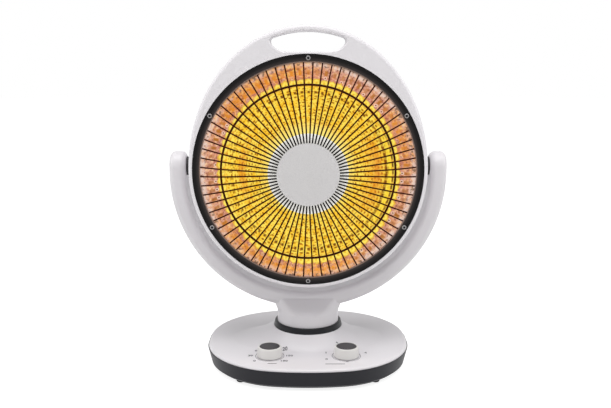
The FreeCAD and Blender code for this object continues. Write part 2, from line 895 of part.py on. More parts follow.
def tilt_pins():
    flange_x = yoke_inner_r + wall + free_gap
    pin = rod_x(pin_r, tilt_boss_x - pin_root + seat_gap, flange_x + pin_flange_h + pin_tail)
    return Part.Compound(both_sides(pin.fuse(rod_x(pin_flange_r, flange_x, flange_x + pin_flange_h))))


def tilt_washers():
    x0 = tilt_boss_x + seat_gap
    ring = rod_x(tilt_washer_r, x0, x0 + tilt_washer_h)
    return Part.Compound(both_sides(ring.cut(rod_x(pin_r + press_gap, x0, x0 + tilt_washer_h))))


# Head housing

def head_outline(y, half_width, top):
    """Half circle below, half ellipse above that rises to the handle."""
    centre = V(0, y, pivot_z)
    left = centre - RIGHT * half_width
    right = centre + RIGHT * half_width
    lower = Part.Arc(left, centre - UP * half_width, right)
    arch = Part.ArcOfEllipse(Part.Ellipse(centre + UP * top, right, centre), -math.pi / 2, math.pi / 2)
    return Part.Wire(Part.__sortEdges__([lower.toShape(), arch.toShape()]))


def slot_outline(y, grow):
    """Hand slot: level bottom with wide corners, small round ends and an arched top."""
    turn = math.asin((slot_half_width - slot_flat) / slot_corner_r)

    def at(x, z):
        return V(x, y, pivot_z + z)

    def corner(side, angle):
        x = slot_flat + slot_corner_r * math.sin(angle)
        return at(side * x, slot_bottom + slot_corner_r * (1 - math.cos(angle)))

    edges = [
        Part.LineSegment(corner(-1, 0), corner(1, 0)),
        Part.Arc(corner(1, 0), corner(1, turn / 2), corner(1, turn)),
        Part.Arc(corner(1, turn), at(0, slot_top), corner(-1, turn)),
        Part.Arc(corner(-1, turn), corner(-1, turn / 2), corner(-1, 0)),
    ]
    outline = Part.Wire([edge.toShape() for edge in edges])
    return outline.makeOffset2D(-slot_end_r).makeOffset2D(slot_end_r + grow)


def dome_form(inset):
    """Pan-shaped back: a straight side, a round corner and a shallow cone up to a flat centre."""
    r = dome_corner_r - inset
    centre_r = dome_r - dome_corner_r
    back_y = dome_back_y - inset

    def at(radius, y):
        return V(radius, y, pivot_z)

    def corner(angle):
        return at(centre_r + r * math.cos(angle), dome_corner_y + r * math.sin(angle))

    cone_start = corner(dome_corner_angle)
    run = (back_y - cone_start.y) / math.cos(dome_corner_angle)
    flat_r = cone_start.x - run * math.sin(dome_corner_angle)
    side = [at(0, dome_front_y), at(dome_r - inset, dome_front_y), corner(0)]
    edges = [Part.LineSegment(a, b).toShape() for a, b in zip(side, side[1:])]
    edges.append(Part.Arc(corner(0), corner(dome_corner_angle / 2), cone_start).toShape())
    back = [cone_start, at(flat_r, back_y), at(0, back_y), side[0]]
    edges += [Part.LineSegment(a, b).toShape() for a, b in zip(back, back[1:])]
    return Part.Face(Part.Wire(edges)).revolve(V(0, 0, pivot_z), BACK, 360)


def rear_screw_places():
    places = []
    for index in range(rear_screw_count):
        turn = math.radians(360 * (index + 0.5) / rear_screw_count)
        x = rear_screw_circle_r * math.cos(turn)
        places.append((x, pivot_z + rear_screw_circle_r * math.sin(turn)))
    return places


def rim_screw_places():
    places = []
    for index in range(rim_screw_count):
        turn = math.radians(360 * (index + 0.5) / rim_screw_count)
        x = rim_screw_circle_r * math.cos(turn)
        places.append((x, pivot_z + rim_screw_circle_r * math.sin(turn)))
    return places


def strap_screw_places():
    return [pivot_z + side * (strap_half_span + strap_foot / 2) for side in (-1, 1)]


def head_form():
    """Outer form of the head: rim block with its hand slot, and the dome behind it."""
    rear_y = head_front_y + head_rim_depth
    rim = prism(head_outline(head_front_y, head_r, head_top), BACK * head_rim_depth)
    rim = rim.makeFillet(head_front_edge_r, edges_at_y(rim, head_front_y))
    rim = rim.makeFillet(head_rear_edge_r, edges_at_y(rim, rear_y))
    rim = rim.cut(prism(slot_outline(head_front_y, 0), BACK * head_rim_depth))
    mouth = []
    for y in (head_front_y, rear_y):
        mouth += [e for e in edges_at_y(rim, y) if e.BoundBox.XLength < 2 * slot_half_width + wall]
    rim = rim.makeFillet(slot_edge_r, mouth)
    return rim.fuse(dome_form(0))


def head_cavity():
    rear_y = head_front_y + head_rim_depth
    depth = rear_y - wall - ledge_y - ledge_h
    space = prism(head_outline(ledge_y + ledge_h, head_r - wall, cavity_top), BACK * depth)
    space = space.fuse(dome_form(wall))
    return space.cut(prism(slot_outline(head_front_y, wall), BACK * head_rim_depth))


def vent_slots():
    half = vent_width / 2
    y = dome_corner_y + dome_corner_r / 2
    edges = [
        Part.LineSegment(V(vent_inner_r, y, pivot_z - half), V(vent_outer_r, y, pivot_z - half)),
        Part.Arc(V(vent_outer_r, y, pivot_z - half), V(vent_outer_r + half, y, pivot_z),
                 V(vent_outer_r, y, pivot_z + half)),
        Part.LineSegment(V(vent_outer_r, y, pivot_z + half), V(vent_inner_r, y, pivot_z + half)),
        Part.Arc(V(vent_inner_r, y, pivot_z + half), V(vent_inner_r - half, y, pivot_z),
                 V(vent_inner_r, y, pivot_z - half)),
    ]
    slot = prism(Part.Wire([edge.toShape() for edge in edges]), BACK * (dome_back_y + wall - y))
    return ring_of(slot, vent_count, 180 / vent_count)


def head_shell():
    form = head_form()
    shell = form.cut(head_cavity())
    shell = shell.cut(rod_y(rim_outer_r + free_gap, head_front_y, ledge_y))
    shell = shell.cut(rod_y(ledge_inner_r, ledge_y, ledge_y + ledge_h))
    bosses = []
    cuts = []
    boss_r = screw_head_r + screw_gap + boss_wall / 2
    for x, z in rear_screw_places():
        seat = head_split_y + rear_screw_grip
        bosses.append(rod_y(boss_r, ledge_y + ledge_h, dome_back_y, x, z).common(form))
        cuts.append(rod_y(screw_r + press_gap, head_split_y - rear_screw_bite - seat_gap, head_split_y, x, z))
        cuts.append(rod_y(screw_r + screw_gap, head_split_y, seat, x, z))
        cuts.append(rod_y(screw_head_r + screw_gap, seat, dome_back_y, x, z))
    for x, z in rim_screw_places():
        end_y = head_front_y + rim_screw_len
        bosses.append(rod_y(screw_r + boss_wall, ledge_y + ledge_h / 2, end_y + wall, x, z))
        cuts.append(rod_y(screw_r + press_gap, head_front_y, end_y + seat_gap, x, z))
    for z in strap_screw_places():
        end_y = strap_foot_y + strap_screw_depth
        bosses.append(rod_y(screw_r + boss_wall, strap_foot_y, dome_back_y - wall / 2, 0, z))
        cuts.append(rod_y(screw_r + press_gap, strap_foot_y, end_y + seat_gap, 0, z))
    bosses += both_sides(rod_x(tilt_boss_r, dome_r - tilt_boss_root, tilt_boss_x))
    cuts += both_sides(rod_x(pin_r + press_gap, tilt_boss_x - pin_root, tilt_boss_x))
    return shell.fuse(bosses).cut(cuts + vent_slots())


def head_half(shell, side):
    reach = head_top + wall
    near = 2 * head_front_y if side < 0 else head_split_y
    far = head_split_y if side < 0 else dome_back_y + wall
    return shell.common(block(-reach, reach, near, far, pivot_z - reach, pivot_z + reach))


def rear_screws():
    seat = head_split_y + rear_screw_grip
    length = rear_screw_grip + rear_screw_bite
    return Part.Compound([screw_forward(x, seat, z, length) for x, z in rear_screw_places()])


# Guard

def guard_rim():
    """Angle ring that covers the guard's outer wire: flat front plate and a skirt on the ledge."""
    y0 = head_front_y
    y1 = y0 + rim_plate_h
    y2 = y0 + rim_depth
    bevel = rim_chamfer
    profile = [(rim_inner_r, y1), (rim_inner_r, y0 + bevel), (rim_inner_r + bevel, y0)]
    profile += [(rim_outer_r - bevel, y0), (rim_outer_r, y0 + bevel)]
    profile += [(rim_outer_r, y2), (rim_outer_r - rim_skirt, y2)]
    ring = turned_y(profile + [(rim_outer_r - rim_skirt, y1)])
    return ring.cut([rod_y(screw_r + screw_gap, y0, y1, x, z) for x, z in rim_screw_places()])


def rim_screws():
    return Part.Compound([screw_back(x, head_front_y, z, rim_screw_len) for x, z in rim_screw_places()])


def wire_guard():
    """Straight wires with one bend at the hoop, from the hidden outer ring in to the cap."""
    bend = V(hoop_r, head_front_y - hoop_rise, pivot_z)
    outer = V(ring_r, ring_y, pivot_z)
    inner = V(wire_inner_r, head_front_y - wire_inner_rise, pivot_z)
    path = Part.Wire([Part.makeLine(outer, bend), Part.makeLine(bend, inner)])
    section = Part.Wire([Part.makeCircle(wire_r, outer, bend - outer)])
    wire = path.makePipeShell([section], True, False, 1)
    hoop_y = bend.y + wire_r + hoop_wire_r - hoop_lap
    half_pitch = 180 / wire_count
    slices = []
    for radius, thick, y in ((ring_r, ring_wire_r, ring_y), (hoop_r, hoop_wire_r, hoop_y)):
        disc = Part.Face(Part.Wire([Part.makeCircle(thick, V(radius, y, pivot_z), UP)]))
        disc.rotate(V(0, 0, pivot_z), BACK, -half_pitch)
        slices.append(disc.revolve(V(0, 0, pivot_z), BACK, 2 * half_pitch))
    sector = wire.fuse(slices)
    skin = []
    for face in sector.Faces:
        centre = face.CenterOfMass
        side_z = centre.x * math.tan(math.radians(half_pitch))
        if abs(centre.z - pivot_z) < side_z - pick_gap:
            skin.append(face)
    faces = []
    for copy in ring_of(Part.Compound(skin), wire_count, half_pitch):
        faces += copy.Faces
    shell = Part.Compound(faces)
    shell.sewShape()
    return Part.Solid(shell.Shells[0])


def guard_cap():
    """Plain shallow-domed disc in front of the wires' inner ends."""
    y0 = cap_back_y
    y1 = y0 - cap_edge_h
    y2 = y1 - cap_crown

    def at(r, y):
        return V(r, y, pivot_z)

    crown_r = (cap_r ** 2 + cap_crown ** 2) / (2 * cap_crown)
    half_angle = math.asin(cap_r / crown_r) / 2
    middle = at(crown_r * math.sin(half_angle), y2 + crown_r * (1 - math.cos(half_angle)))
    edges = [
        Part.LineSegment(at(0, y0), at(cap_r, y0)),
        Part.LineSegment(at(cap_r, y0), at(cap_r, y1)),
        Part.Arc(at(cap_r, y1), middle, at(0, y2)),
        Part.LineSegment(at(0, y2), at(0, y0)),
    ]
    profile = Part.Face(Part.Wire([edge.toShape() for edge in edges]))
    body = profile.revolve(V(0, 0, pivot_z), BACK, 360)
    return body.cut(rod_y(screw_r + press_gap, y0 - guard_screw_bite - seat_gap, y0))


def guard_hub():
    """White plate that clamps the wires' inner ends from behind and shields them from the coil."""
    y1 = hub_front_y + hub_h
    body = rod_y(hub_r, hub_front_y, y1).fuse(rod_y(hub_boss_r, cap_back_y, y1))
    return body.cut(rod_y(screw_r + screw_gap, cap_back_y, y1))


def guard_screw():
    seat = hub_front_y + hub_h
    return screw_forward(0, seat, pivot_z, seat - cap_back_y + guard_screw_bite)


# Reflector and heating element

def dish_y(r):
    return dish_apex_y - dish_depth * (r / dish_rim_r) ** 2


def reflector():
    """Pressed dish of flat facets on a parabola, one column to each guard wire, with a flat flange."""
    step = (dish_band_r - dish_hole_r) / facet_rings
    radii = [dish_hole_r + step * index for index in range(facet_rings + 1)]
    radii += [dish_rim_r, dish_flange_r]
    front = [(r, dish_y(min(r, dish_rim_r))) for r in radii]
    back = [(r, y + sheet) for r, y in reversed(front)]
    loop = front + back
    pitch = 2 * math.pi / facet_sectors

    def at(point, sector):
        r, y = point
        return V(r * math.cos(sector * pitch), y, pivot_z + r * math.sin(sector * pitch))

    facets = []
    for a, b in zip(loop, loop[1:] + loop[:1]):
        corners = [at(a, 0), at(b, 0), at(b, 1), at(a, 1), at(a, 0)]
        facets.append(Part.Face(Part.makePolygon(corners)))
    faces = []
    for copy in ring_of(Part.Compound(facets), facet_sectors, 180 / facet_sectors):
        faces += copy.Faces
    shell = Part.Compound(faces)
    shell.sewShape()
    return Part.Solid(shell.Shells[0])


def heater_socket():
    y0 = former_y
    y1 = socket_flange_y
    y2 = y1 + socket_flange_h
    y3 = y2 + socket_tail
    well_r = former_spigot_r + press_gap
    well_y = y0 + former_spigot + seat_gap
    profile = [(well_r, y0), (socket_r, y0), (socket_r, y1), (socket_flange_r, y1), (socket_flange_r, y2)]
    profile += [(socket_tail_r, y2), (socket_tail_r, y3), (0, y3), (0, well_y), (well_r, well_y)]
    return turned_y(profile)


def heater_former():
    y0 = former_y
    y1 = y0 - former_length
    y2 = y1 - former_cap_h
    spigot_y = y0 + former_spigot
    profile = [(0, spigot_y), (former_spigot_r, spigot_y), (former_spigot_r, y0), (former_r, y0)]
    profile += [(former_r, y1), (former_cap_r, y1), (former_cap_r, y2), (0, y2)]
    return turned_y(profile)


def coil_radius():
    return former_r + coil_gap + coil_wire_r


def coil_state(turn):
    """Point and direction on the winding after a number of turns."""
    r = coil_radius()
    angle = 2 * math.pi * turn
    point = V(r * math.cos(angle), former_y - coil_start - coil_pitch * turn, pivot_z + r * math.sin(angle))
    slope = coil_pitch / (2 * math.pi)
    direction = V(-r * math.sin(angle), -slope, r * math.cos(angle))
    return point, direction * (1 / direction.Length)


def tangent_arc(start, corner, end):
    """Arc between two points whose end tangents meet at the corner."""
    middle = (start + end) * 0.5
    half = (end - start).Length / 2
    towards = corner - middle
    rise = half * math.tan(math.atan2(towards.Length, half) / 2)
    return Part.Arc(start, middle + towards * (rise / towards.Length), end)


def biarc(state_a, state_b):
    """Two tangent arcs that join two points with given directions."""
    (a, along_a), (b, along_b) = state_a, state_b
    span = b - a
    both = along_a + along_b
    bend = 2 * (1 - along_a.dot(along_b))
    lean = span.dot(both)
    reach = (math.sqrt(lean ** 2 + bend * span.dot(span)) - lean) / bend
    corner_a = a + along_a * reach
    corner_b = b - along_b * reach
    join = (corner_a + corner_b) * 0.5
    return [tangent_arc(a, corner_a, join), tangent_arc(join, corner_b, b)]


def coil_lead_ends():
    """Both ends of the winding, run straight on by one wire diameter, with the direction outwards."""
    first, first_along = coil_state(0)
    last, last_along = coil_state(coil_turns)
    lead = 2 * coil_wire_r
    return (first - first_along * lead, first_along * -1), (last + last_along * lead, last_along)


def heater_coil():
    """One unbroken winding of resistance wire round the former."""
    arcs = []
    for index in range(int(coil_turns / coil_step)):
        arcs += biarc(coil_state(index * coil_step), coil_state((index + 1) * coil_step))
    (start, start_out), (end, end_out) = coil_lead_ends()
    edges = [Part.makeLine(start, coil_state(0)[0])]
    edges += [arc.toShape() for arc in arcs]
    edges.append(Part.makeLine(coil_state(coil_turns)[0], end))
    section = Part.Wire([Part.makeCircle(coil_wire_r, start, start_out)])
    return Part.Wire(edges).makePipeShell([section], True, False)


def coil_least_gap():
    """Least clear distance between neighbouring turns, measured on points along the winding."""
    points = [coil_state(index / coil_samples)[0] for index in range(coil_turns * coil_samples + 1)]
    apart = coil_samples // 2
    least = min((a - b).Length for i, a in enumerate(points) for b in points[i + apart:])
    return least - 2 * coil_wire_r


def heater_lugs():
    return Part.Compound([Part.makeCylinder(lug_r, lug_length, end, out) for end, out in coil_lead_ends()])


def socket_bracket():
    """Bent strap behind the socket, with two legs and feet on the back of the housing."""
    y0 = strap_y
    y1 = y0 + strap_h
    foot_y = strap_foot_y - strap_h
    near = strap_half_span
    far = near + strap_foot
    upper = [(y0, near), (foot_y, near), (foot_y, far), (strap_foot_y, far), (strap_foot_y, near - strap_h)]
    upper += [(y1, near - strap_h)]
    outline = upper + [(y, -z) for y, z in reversed(upper)]
    points = [V(-strap_half_width, y, pivot_z + z) for y, z in outline]
    strap = prism(Part.makePolygon(points + points[:1]), RIGHT * (2 * strap_half_width))
    strap = strap.cut(rod_y(socket_tail_r + screw_gap, y0, y1))
    return strap.cut([rod_y(screw_r + screw_gap, foot_y, strap_foot_y, 0, z) for z in strap_screw_places()])


def bracket_screws():
    seat = strap_foot_y - strap_h
    length = strap_h + strap_screw_depth
    return Part.Compound([screw_back(0, seat, z, length) for z in strap_screw_places()])


def thermal_cutout():
    y0 = strap_y + strap_h
    z = pivot_z + cutout_z
    body = rod_y(cutout_r, y0, y0 + cutout_h, 0, z)
    reach = cutout_r + cutout_ear
    ears = block(-reach, reach, y0, y0 + sheet, z - cutout_ear, z + cutout_ear)
    tab_x = cutout_r / 2
    half = tab_width / 2
    tab_y = y0 + cutout_h
    tab = block(tab_x - half, tab_x + half, tab_y, tab_y + blade_length, z, z + blade_h)
    return body.fuse([ears] + both_sides(tab))


def main():
    os.makedirs("parts", exist_ok=True)
    yoke = yoke_shell()
    head = head_shell()
    pieces = {
        "base_tray": base_tray(),
        "base_cover": base_cover(),
        "base_feet": base_feet(),
        "base_screws": base_screws(),
        "ballast_plate": ballast_plate(),
        "cord_gland": cord_gland(),
        "terminal_block": terminal_block(),
        "swivel_collar": swivel_collar(),
        "thrust_washer": thrust_washer(),
        "swivel_bush": swivel_bush(),
        "swivel_spindle": swivel_spindle(),
        "spindle_screws": spindle_screws(),
        "spindle_clip": spindle_clip(),
        "swing_motor": swing_motor(),
        "motor_screws": motor_screws(),
        "swing_crank": swing_crank(),
        "swing_lever": swing_lever(),
        "lever_screws": lever_screws(),
        "timer_unit": timer_unit(),
        "selector_switch": selector_switch(),
        "control_screws": control_screws(),
        "tip_switch": tip_switch(),
        "tip_plunger": tip_plunger(),
        "timer_knob": knob(-1),
        "timer_knob_cap": knob_cap(-1),
        "timer_shaft": control_shaft(-1),
        "selector_knob": knob(1),
        "selector_knob_cap": knob_cap(1),
        "selector_shaft": control_shaft(1),
        "yoke_front": yoke_half(yoke, -1),
        "yoke_rear": yoke_half(yoke, 1),
        "yoke_screws": yoke_screws(),
        "tilt_pins": tilt_pins(),
        "tilt_washers": tilt_washers(),
        "front_bezel": head_half(head, -1),
        "rear_shell": head_half(head, 1),
        "rear_screws": rear_screws(),
        "guard_rim": guard_rim(),
        "rim_screws": rim_screws(),
        "wire_guard": wire_guard(),
        "guard_cap": guard_cap(),
        "guard_hub": guard_hub(),
        "guard_screw": guard_screw(),
        "reflector": reflector(),
        "heater_socket": heater_socket(),
        "heater_former": heater_former(),
        "heater_coil": heater_coil(),
        "heater_lugs": heater_lugs(),
        "socket_bracket": socket_bracket(),
        "bracket_screws": bracket_screws(),
        "thermal_cutout": thermal_cutout(),
    }
    for name, shape in pieces.items():
        shape.exportStep("parts/" + name + ".step")
    print("least gap between the heater coil's turns: %.2f mm" % coil_least_gap())


main()
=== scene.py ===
import json
import math

import bmesh
import bpy
from mathutils import Matrix, Vector


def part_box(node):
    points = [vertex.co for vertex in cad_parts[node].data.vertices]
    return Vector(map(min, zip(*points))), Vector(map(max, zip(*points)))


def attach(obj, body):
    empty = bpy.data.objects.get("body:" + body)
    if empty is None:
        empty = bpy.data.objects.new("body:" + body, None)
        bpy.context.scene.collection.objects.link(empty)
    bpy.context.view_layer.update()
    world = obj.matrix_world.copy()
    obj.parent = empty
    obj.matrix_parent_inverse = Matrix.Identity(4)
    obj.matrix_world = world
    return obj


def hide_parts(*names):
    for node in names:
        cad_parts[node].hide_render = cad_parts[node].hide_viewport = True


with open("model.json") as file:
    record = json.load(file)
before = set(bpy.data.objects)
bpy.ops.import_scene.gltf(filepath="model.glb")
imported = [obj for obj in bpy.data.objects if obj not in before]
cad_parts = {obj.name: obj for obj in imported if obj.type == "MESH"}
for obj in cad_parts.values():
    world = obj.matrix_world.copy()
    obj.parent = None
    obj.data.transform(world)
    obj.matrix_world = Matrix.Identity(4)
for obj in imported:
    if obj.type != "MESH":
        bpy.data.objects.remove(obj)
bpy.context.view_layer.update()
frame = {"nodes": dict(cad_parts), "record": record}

# Places taken from the frame, in metres
rim_low, rim_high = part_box("guard_rim")
dish_low, dish_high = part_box("reflector")
coil_low, coil_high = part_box("heater_coil")
screw_low, screw_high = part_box("rim_screws")
timer_low, timer_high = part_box("timer_knob")
selector_low, selector_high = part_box("selector_knob")
cap_low, cap_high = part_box("guard_cap")
head_centre = Vector((0, 0, (rim_low.z + rim_high.z) / 2))
head_axis = Vector((0, 1, 0))
timer_centre = (timer_low + timer_high) / 2
selector_centre = (selector_low + selector_high) / 2

# Reflector: columns of facets between the guard's wires, in rings from the hole to the flange
facet_columns = 72
facet_rings = 16
facet_steps = 3
facet_crown = 0.0007
band_crown = 0.0011
dish_hole_r = 0.024
dish_band_r = 0.112
dish_rim_r = 0.127
dish_flange_r = (dish_high.x - dish_low.x) / 2
dish_rim_y = dish_low.y
dish_depth = 0.062
dish_sheet = 0.0008
column_seam = 1e-5
row_rounding = 1e-4

# Glow painted on the reflector as emission, in place of the coil's light reflected in its facets, about a
# middle that lies beside and below the head's axis: its strength, the shares of its layers, the pitches of
# its dots and the radii of its rings
glow_across = 0.0007
glow_drop = 0.0032
glow_stretch = 1.017
glow_light = 0.9
golden_share = 0.35
flank_share = 0.7
arc_share = 0.75
block_share = 0.9
halo_share = 0.7
ringed_dot_share = 0.9
small_dot_pitch = 0.0029
large_dot_pitch = 0.0042
core_r = (0.048, 0.066)
flank_r = (0.0832, 0.0902)
flank_soft = 0.005
flank_lean = 0.0015
flank_narrowness = 14.0
# A dark row inside the hoop, painted as a reflection in the dish: its radii and soft edge
dark_row_r = (0.0968, 0.0998)
dark_row_soft = 0.0008
lemon_r = (0.1044, 0.1060)
ragged_edge = 0.0008
band_r = (0.1136, 0.1154)
mauve_r = (0.1150, 0.1200)
patch_r = (0.1186, 0.1250)
patch_soft = 0.0012
ends_r = (0.1236, 0.1275)
# Painted shade of the rim across the top of the band: its radii and how far its middle rises
shade_r = (0.1268, 0.1306)
shade_rise = 0.0010

# Lemon blocks and ringed dots of the glow, one to a column: the radius where each lies, and distances from
# its middle
block_r = 0.1098
block_middle = (0.0006, 0.0022)
block_edge = (0.0030, 0.0052)
block_corner = 0.0056
# Ringed dots are painted reflections
ringed_dot_r = 0.1166
ringed_dot_core = (0.0006, 0.0012)
ringed_dot_halo = (0.0008, 0.0021)
halo_soft = 0.0004

# Shares of a column's width, from nought in its middle to a half at the guard's wires
column_middle = (0.10, 0.27)
beside_wire = (0.12, 0.34)
dash_width = (0.20, 0.38)

# Right side of the glow: where it points and how far it reaches, in degrees, and the radii of its rings
side_turn = -5
side_reach = 42
golden_r = (0.074, 0.095)
golden_soft = 0.006
arc_r = (0.1008, 0.1044)
arc_soft = 0.0008
# Dark dashes on the right, a painted reflection of the hoop: their radii and soft edge
dash_r = (0.1052, 0.1072)
dash_soft = 0.0006

# Zones where the outer band turns pink: where each points and how far it reaches, in degrees
pink_zones = ((180, 42), (-27, 42), (63, 36))
pink_share = 0.6
pink_chance = 0.25

# Noises of the glow: scale, detail and roughness
glow_noises = {
    "patches": (130.0, 3.0, 0.6),
    "small_dots": (150.0, 2.0, 0.5),
    "large_dots": (90.0, 2.0, 0.5),
    "streaks": (340.0, 2.0, 0.6),
    "blotches": (240.0, 3.0, 0.65),
    "flecks": (270.0, 2.0, 0.6),
    "ragged": (300.0, 2.0, 0.5),
    "tarnish": (90.0, 3.0, 0.5),
}

# Heating coil
coil_turns = 11
coil_pitch = 0.004
coil_wire_r = 0.0012
coil_steps = 28
coil_sides = 10
coil_lead = 0.0024
coil_light = 1.6
coil_smooth = math.radians(50)

# Guard: radii between which its wires take a painted brown of the reflector's glow, its white plate's painted
# light and its centre cap
glow_tinted_r = (0.056, 0.138)
glow_tinted_soft = 0.008
plate_painted_light = 0.45
cap_r = (cap_high.x - cap_low.x) / 2
cap_edge_h = 0.0012
cap_sides = 96
cap_smooth = math.radians(40)

# Guard rim: radii between which its painted glow-lit edge and then its grey turn darker, and its screws
rim_edge_r = (0.1306, 0.1324)
rim_body_r = (0.1318, 0.1372)
screw_count = 6
screw_sides = 20
screw_head_r = 0.0028
screw_head_h = 0.0020
screw_circle_r = (screw_high.z - screw_low.z) / 2 - screw_head_r
screw_edge = 0.0007
screw_edge_steps = 3
screw_smooth = math.radians(40)
shank_r = 0.0015
shank_sides = 12
socket_r = 0.0015
socket_depth = 0.0013

# Printing on the cover round the two knobs; bars have a place from the knob's centre and a length
print_h = 0.00005
print_rise = 0.00003
above_cover = 1.0
ring_r = 0.0176
ring_width = 0.0005
ring_sides = 72
number_size = 0.0064
number_weight = 0.00016
number_curve_steps = 3
bar_width = 0.0013
timer_numbers = ("0", "30", "60", "90", "120", "150", "180")
timer_first, timer_last = 222, -42
timer_reach = 0.0244
timer_bars = ((0.004, -0.0245, 0.0110),)
selector_numbers = ("0", "1", "2", "3", "4")
selector_first, selector_last = 203, 23
selector_reach = 0.0272
selector_bars = ((0.0, -0.0190, 0.0034), (-0.0150, -0.0260, 0.0240))

# Stage: the floor's size and its greys, and the light of what is seen behind the object
floor_r = 12.0
floor_sides = 64
floor_grey = (0.88, 0.88, 0.88, 1)
seen_floor_grey = (0.5, 0.5, 0.5, 1)
seen_floor_light = 0.84
white = (1, 1, 1, 1)
sky_fill = 0.36
seen_sky_light = 1.0

# Softboxes: place, target, width, height and watts
softboxes = {
    "top_light": ((0.0, -0.7, 2.3), (0, 0, 0.2), 2.0, 1.6, 38),
    "left_light": ((-1.7, -0.5, 0.9), (0, 0, 0.25), 1.0, 1.4, 9),
    "right_light": ((1.7, -0.5, 0.9), (0, 0, 0.25), 1.0, 1.4, 9),
}

# Camera of the photograph, 611 by 408 pixels
camera_place = Vector((-0.0032, -0.945, 0.378))
camera_pitch = math.radians(9.98)
camera_lens = 43.3
camera_sensor = 36.0


def linear(red, green, blue):
    """A colour written as 0 to 255 on screen, as the shader wants it."""
    def channel(value):
        share = value / 255
        return share / 12.92 if share <= 0.04045 else ((share + 0.055) / 1.055) ** 2.4

    return channel(red), channel(green), channel(blue), 1.0


# Colours of the painted glow, from the middle outwards: emission in place of the coil's light reflected in
# the dish
glow_tones = {
    "core": linear(255, 238, 130),
    "yellow": linear(255, 232, 92),
    "gold": linear(252, 202, 44),
    "small_dot": linear(196, 134, 10),
    "large_dot": linear(142, 90, 6),
    "golden_side": linear(222, 126, 36),
    "flank": linear(214, 122, 40),
    # Painted reflection in the dish: a dark row inside the hoop
    "reflected_dark_row": linear(84, 46, 10),
    "side_arc": linear(255, 228, 64),
    # Painted reflection of the hoop: dark dashes on the right
    "reflected_hoop_dash": linear(72, 42, 12),
    "block_middle": linear(236, 196, 52),
    "block": linear(255, 240, 104),
    "block_edge": linear(226, 170, 56),
    "lemon_streak": linear(222, 176, 60),
    "orange": linear(226, 142, 56),
    "pink": linear(210, 154, 140),
    "mauve": linear(174, 114, 122),
    "orange_fleck": linear(250, 198, 112),
    "pink_fleck": linear(250, 216, 188),
    "dark_fleck": linear(136, 74, 62),
    "orange_patch": linear(222, 136, 44),
    "brown_patch": linear(100, 52, 26),
    "pale_end": linear(228, 206, 200),
    "end_speck": linear(104, 84, 78),
    # Painted reflection: a ringed dot, a pale halo round a dark core
    "halo": linear(246, 220, 206),
    "ringed_dot": linear(78, 36, 28),
    # Painted shade of the rim at the top of the band
    "top_shade": linear(58, 46, 48),
}

# Most of a noise lies between these values
noise_span = (0.3, 0.7)

# Depth of the shell's grain, finer than on the other plastics
shell_grain_depth = 0.000002

# Scale of the streaks on plated metal, which run across
streak_scale = (60.0, 900.0, 900.0)


# Building blocks of the finishes

def connect(tree, value, socket):
    """Links another socket to an input, or sets the input's value."""
    if isinstance(value, bpy.types.NodeSocket):
        tree.links.new(value, socket)
    else:
        socket.default_value = value


def feed(tree, item, inputs):
    """Connects the named inputs of a node."""
    for key, value in inputs.items():
        connect(tree, value, item.inputs[key])


def shader_node(tree, kind, inputs, **settings):
    """A new node with its settings and inputs."""
    made = tree.nodes.new(kind)
    for key, value in settings.items():
        setattr(made, key, value)
    feed(tree, made, inputs)
    return made


def calc(tree, operation, first, second=0.0):
    """One step of arithmetic on sockets or numbers."""
    return shader_node(tree, "ShaderNodeMath", {0: first, 1: second}, operation=operation).outputs[0]


def product(tree, *factors):
    """All factors multiplied."""
    total = factors[0]
    for factor in factors[1:]:
        total = calc(tree, "MULTIPLY", total, factor)
    return total


def blend_colours(tree, share, low, high):
    """From the low colour to the high one by a share."""
    made = tree.nodes.new("ShaderNodeMix")
    made.data_type = "RGBA"
    for key, value in (("Factor", share), ("A", low), ("B", high)):
        connect(tree, value, next(s for s in made.inputs if s.name == key and s.enabled))
    return next(s for s in made.outputs if s.enabled)


def laid_over(tree, tone, *layers):
    """Lays colours over a tone one after another, each by its own share."""
    for share, colour in layers:
        tone = blend_colours(tree, share, tone, colour)
    return tone


def ramp(tree, value, low, high, out_low=0.0, out_high=1.0):
    """A smooth step of the value between two limits."""
    inputs = {"Value": value, "From Min": low, "From Max": high, "To Min": out_low, "To Max": out_high}
    return shader_node(tree, "ShaderNodeMapRange", inputs, interpolation_type="SMOOTHSTEP").outputs[0]


def between(tree, value, low, high, soft):
    """One inside a band of values, falling to nothing over a soft edge."""
    rise = ramp(tree, value, low - soft, low + soft)
    return product(tree, rise, ramp(tree, value, high - soft, high + soft, 1.0, 0.0))


def noise(tree, coordinates, scale, detail=2.0, roughness=0.5):
    """Cloudy values, finer with a larger scale."""
    inputs = {"Vector": coordinates, "Scale": scale, "Detail": detail, "Roughness": roughness}
    return shader_node(tree, "ShaderNodeTexNoise", inputs).outputs["Fac"]


def new_finish(name):
    """A new material with its nodes, its shader and the place on the object."""
    material = bpy.data.materials.new(name)
    material.use_nodes = True
    tree = material.node_tree
    shader = tree.nodes["Principled BSDF"]
    place = shader_node(tree, "ShaderNodeTexCoord", {}).outputs["Object"]
    return material, tree, shader, place


def polar(tree, place, across=0.0, drop=0.0, stretch=1.0):
    """Radius and turn about an axis beside and below the head's, with widths stretched."""
    scale = Vector((stretch, 1, 1))
    centre = Vector((across, 0, head_centre.z - drop)) * scale
    inputs = {"Vector": place, "Location": -centre, "Scale": scale}
    centred = shader_node(tree, "ShaderNodeMapping", inputs).outputs[0]
    parts = shader_node(tree, "ShaderNodeSeparateXYZ", {"Vector": centred}).outputs
    flat = shader_node(tree, "ShaderNodeCombineXYZ", {"X": parts["X"], "Z": parts["Z"]}).outputs[0]
    radius = shader_node(tree, "ShaderNodeVectorMath", {0: flat}, operation="LENGTH").outputs["Value"]
    return radius, calc(tree, "ARCTAN2", parts["Z"], parts["X"])


# Finishes

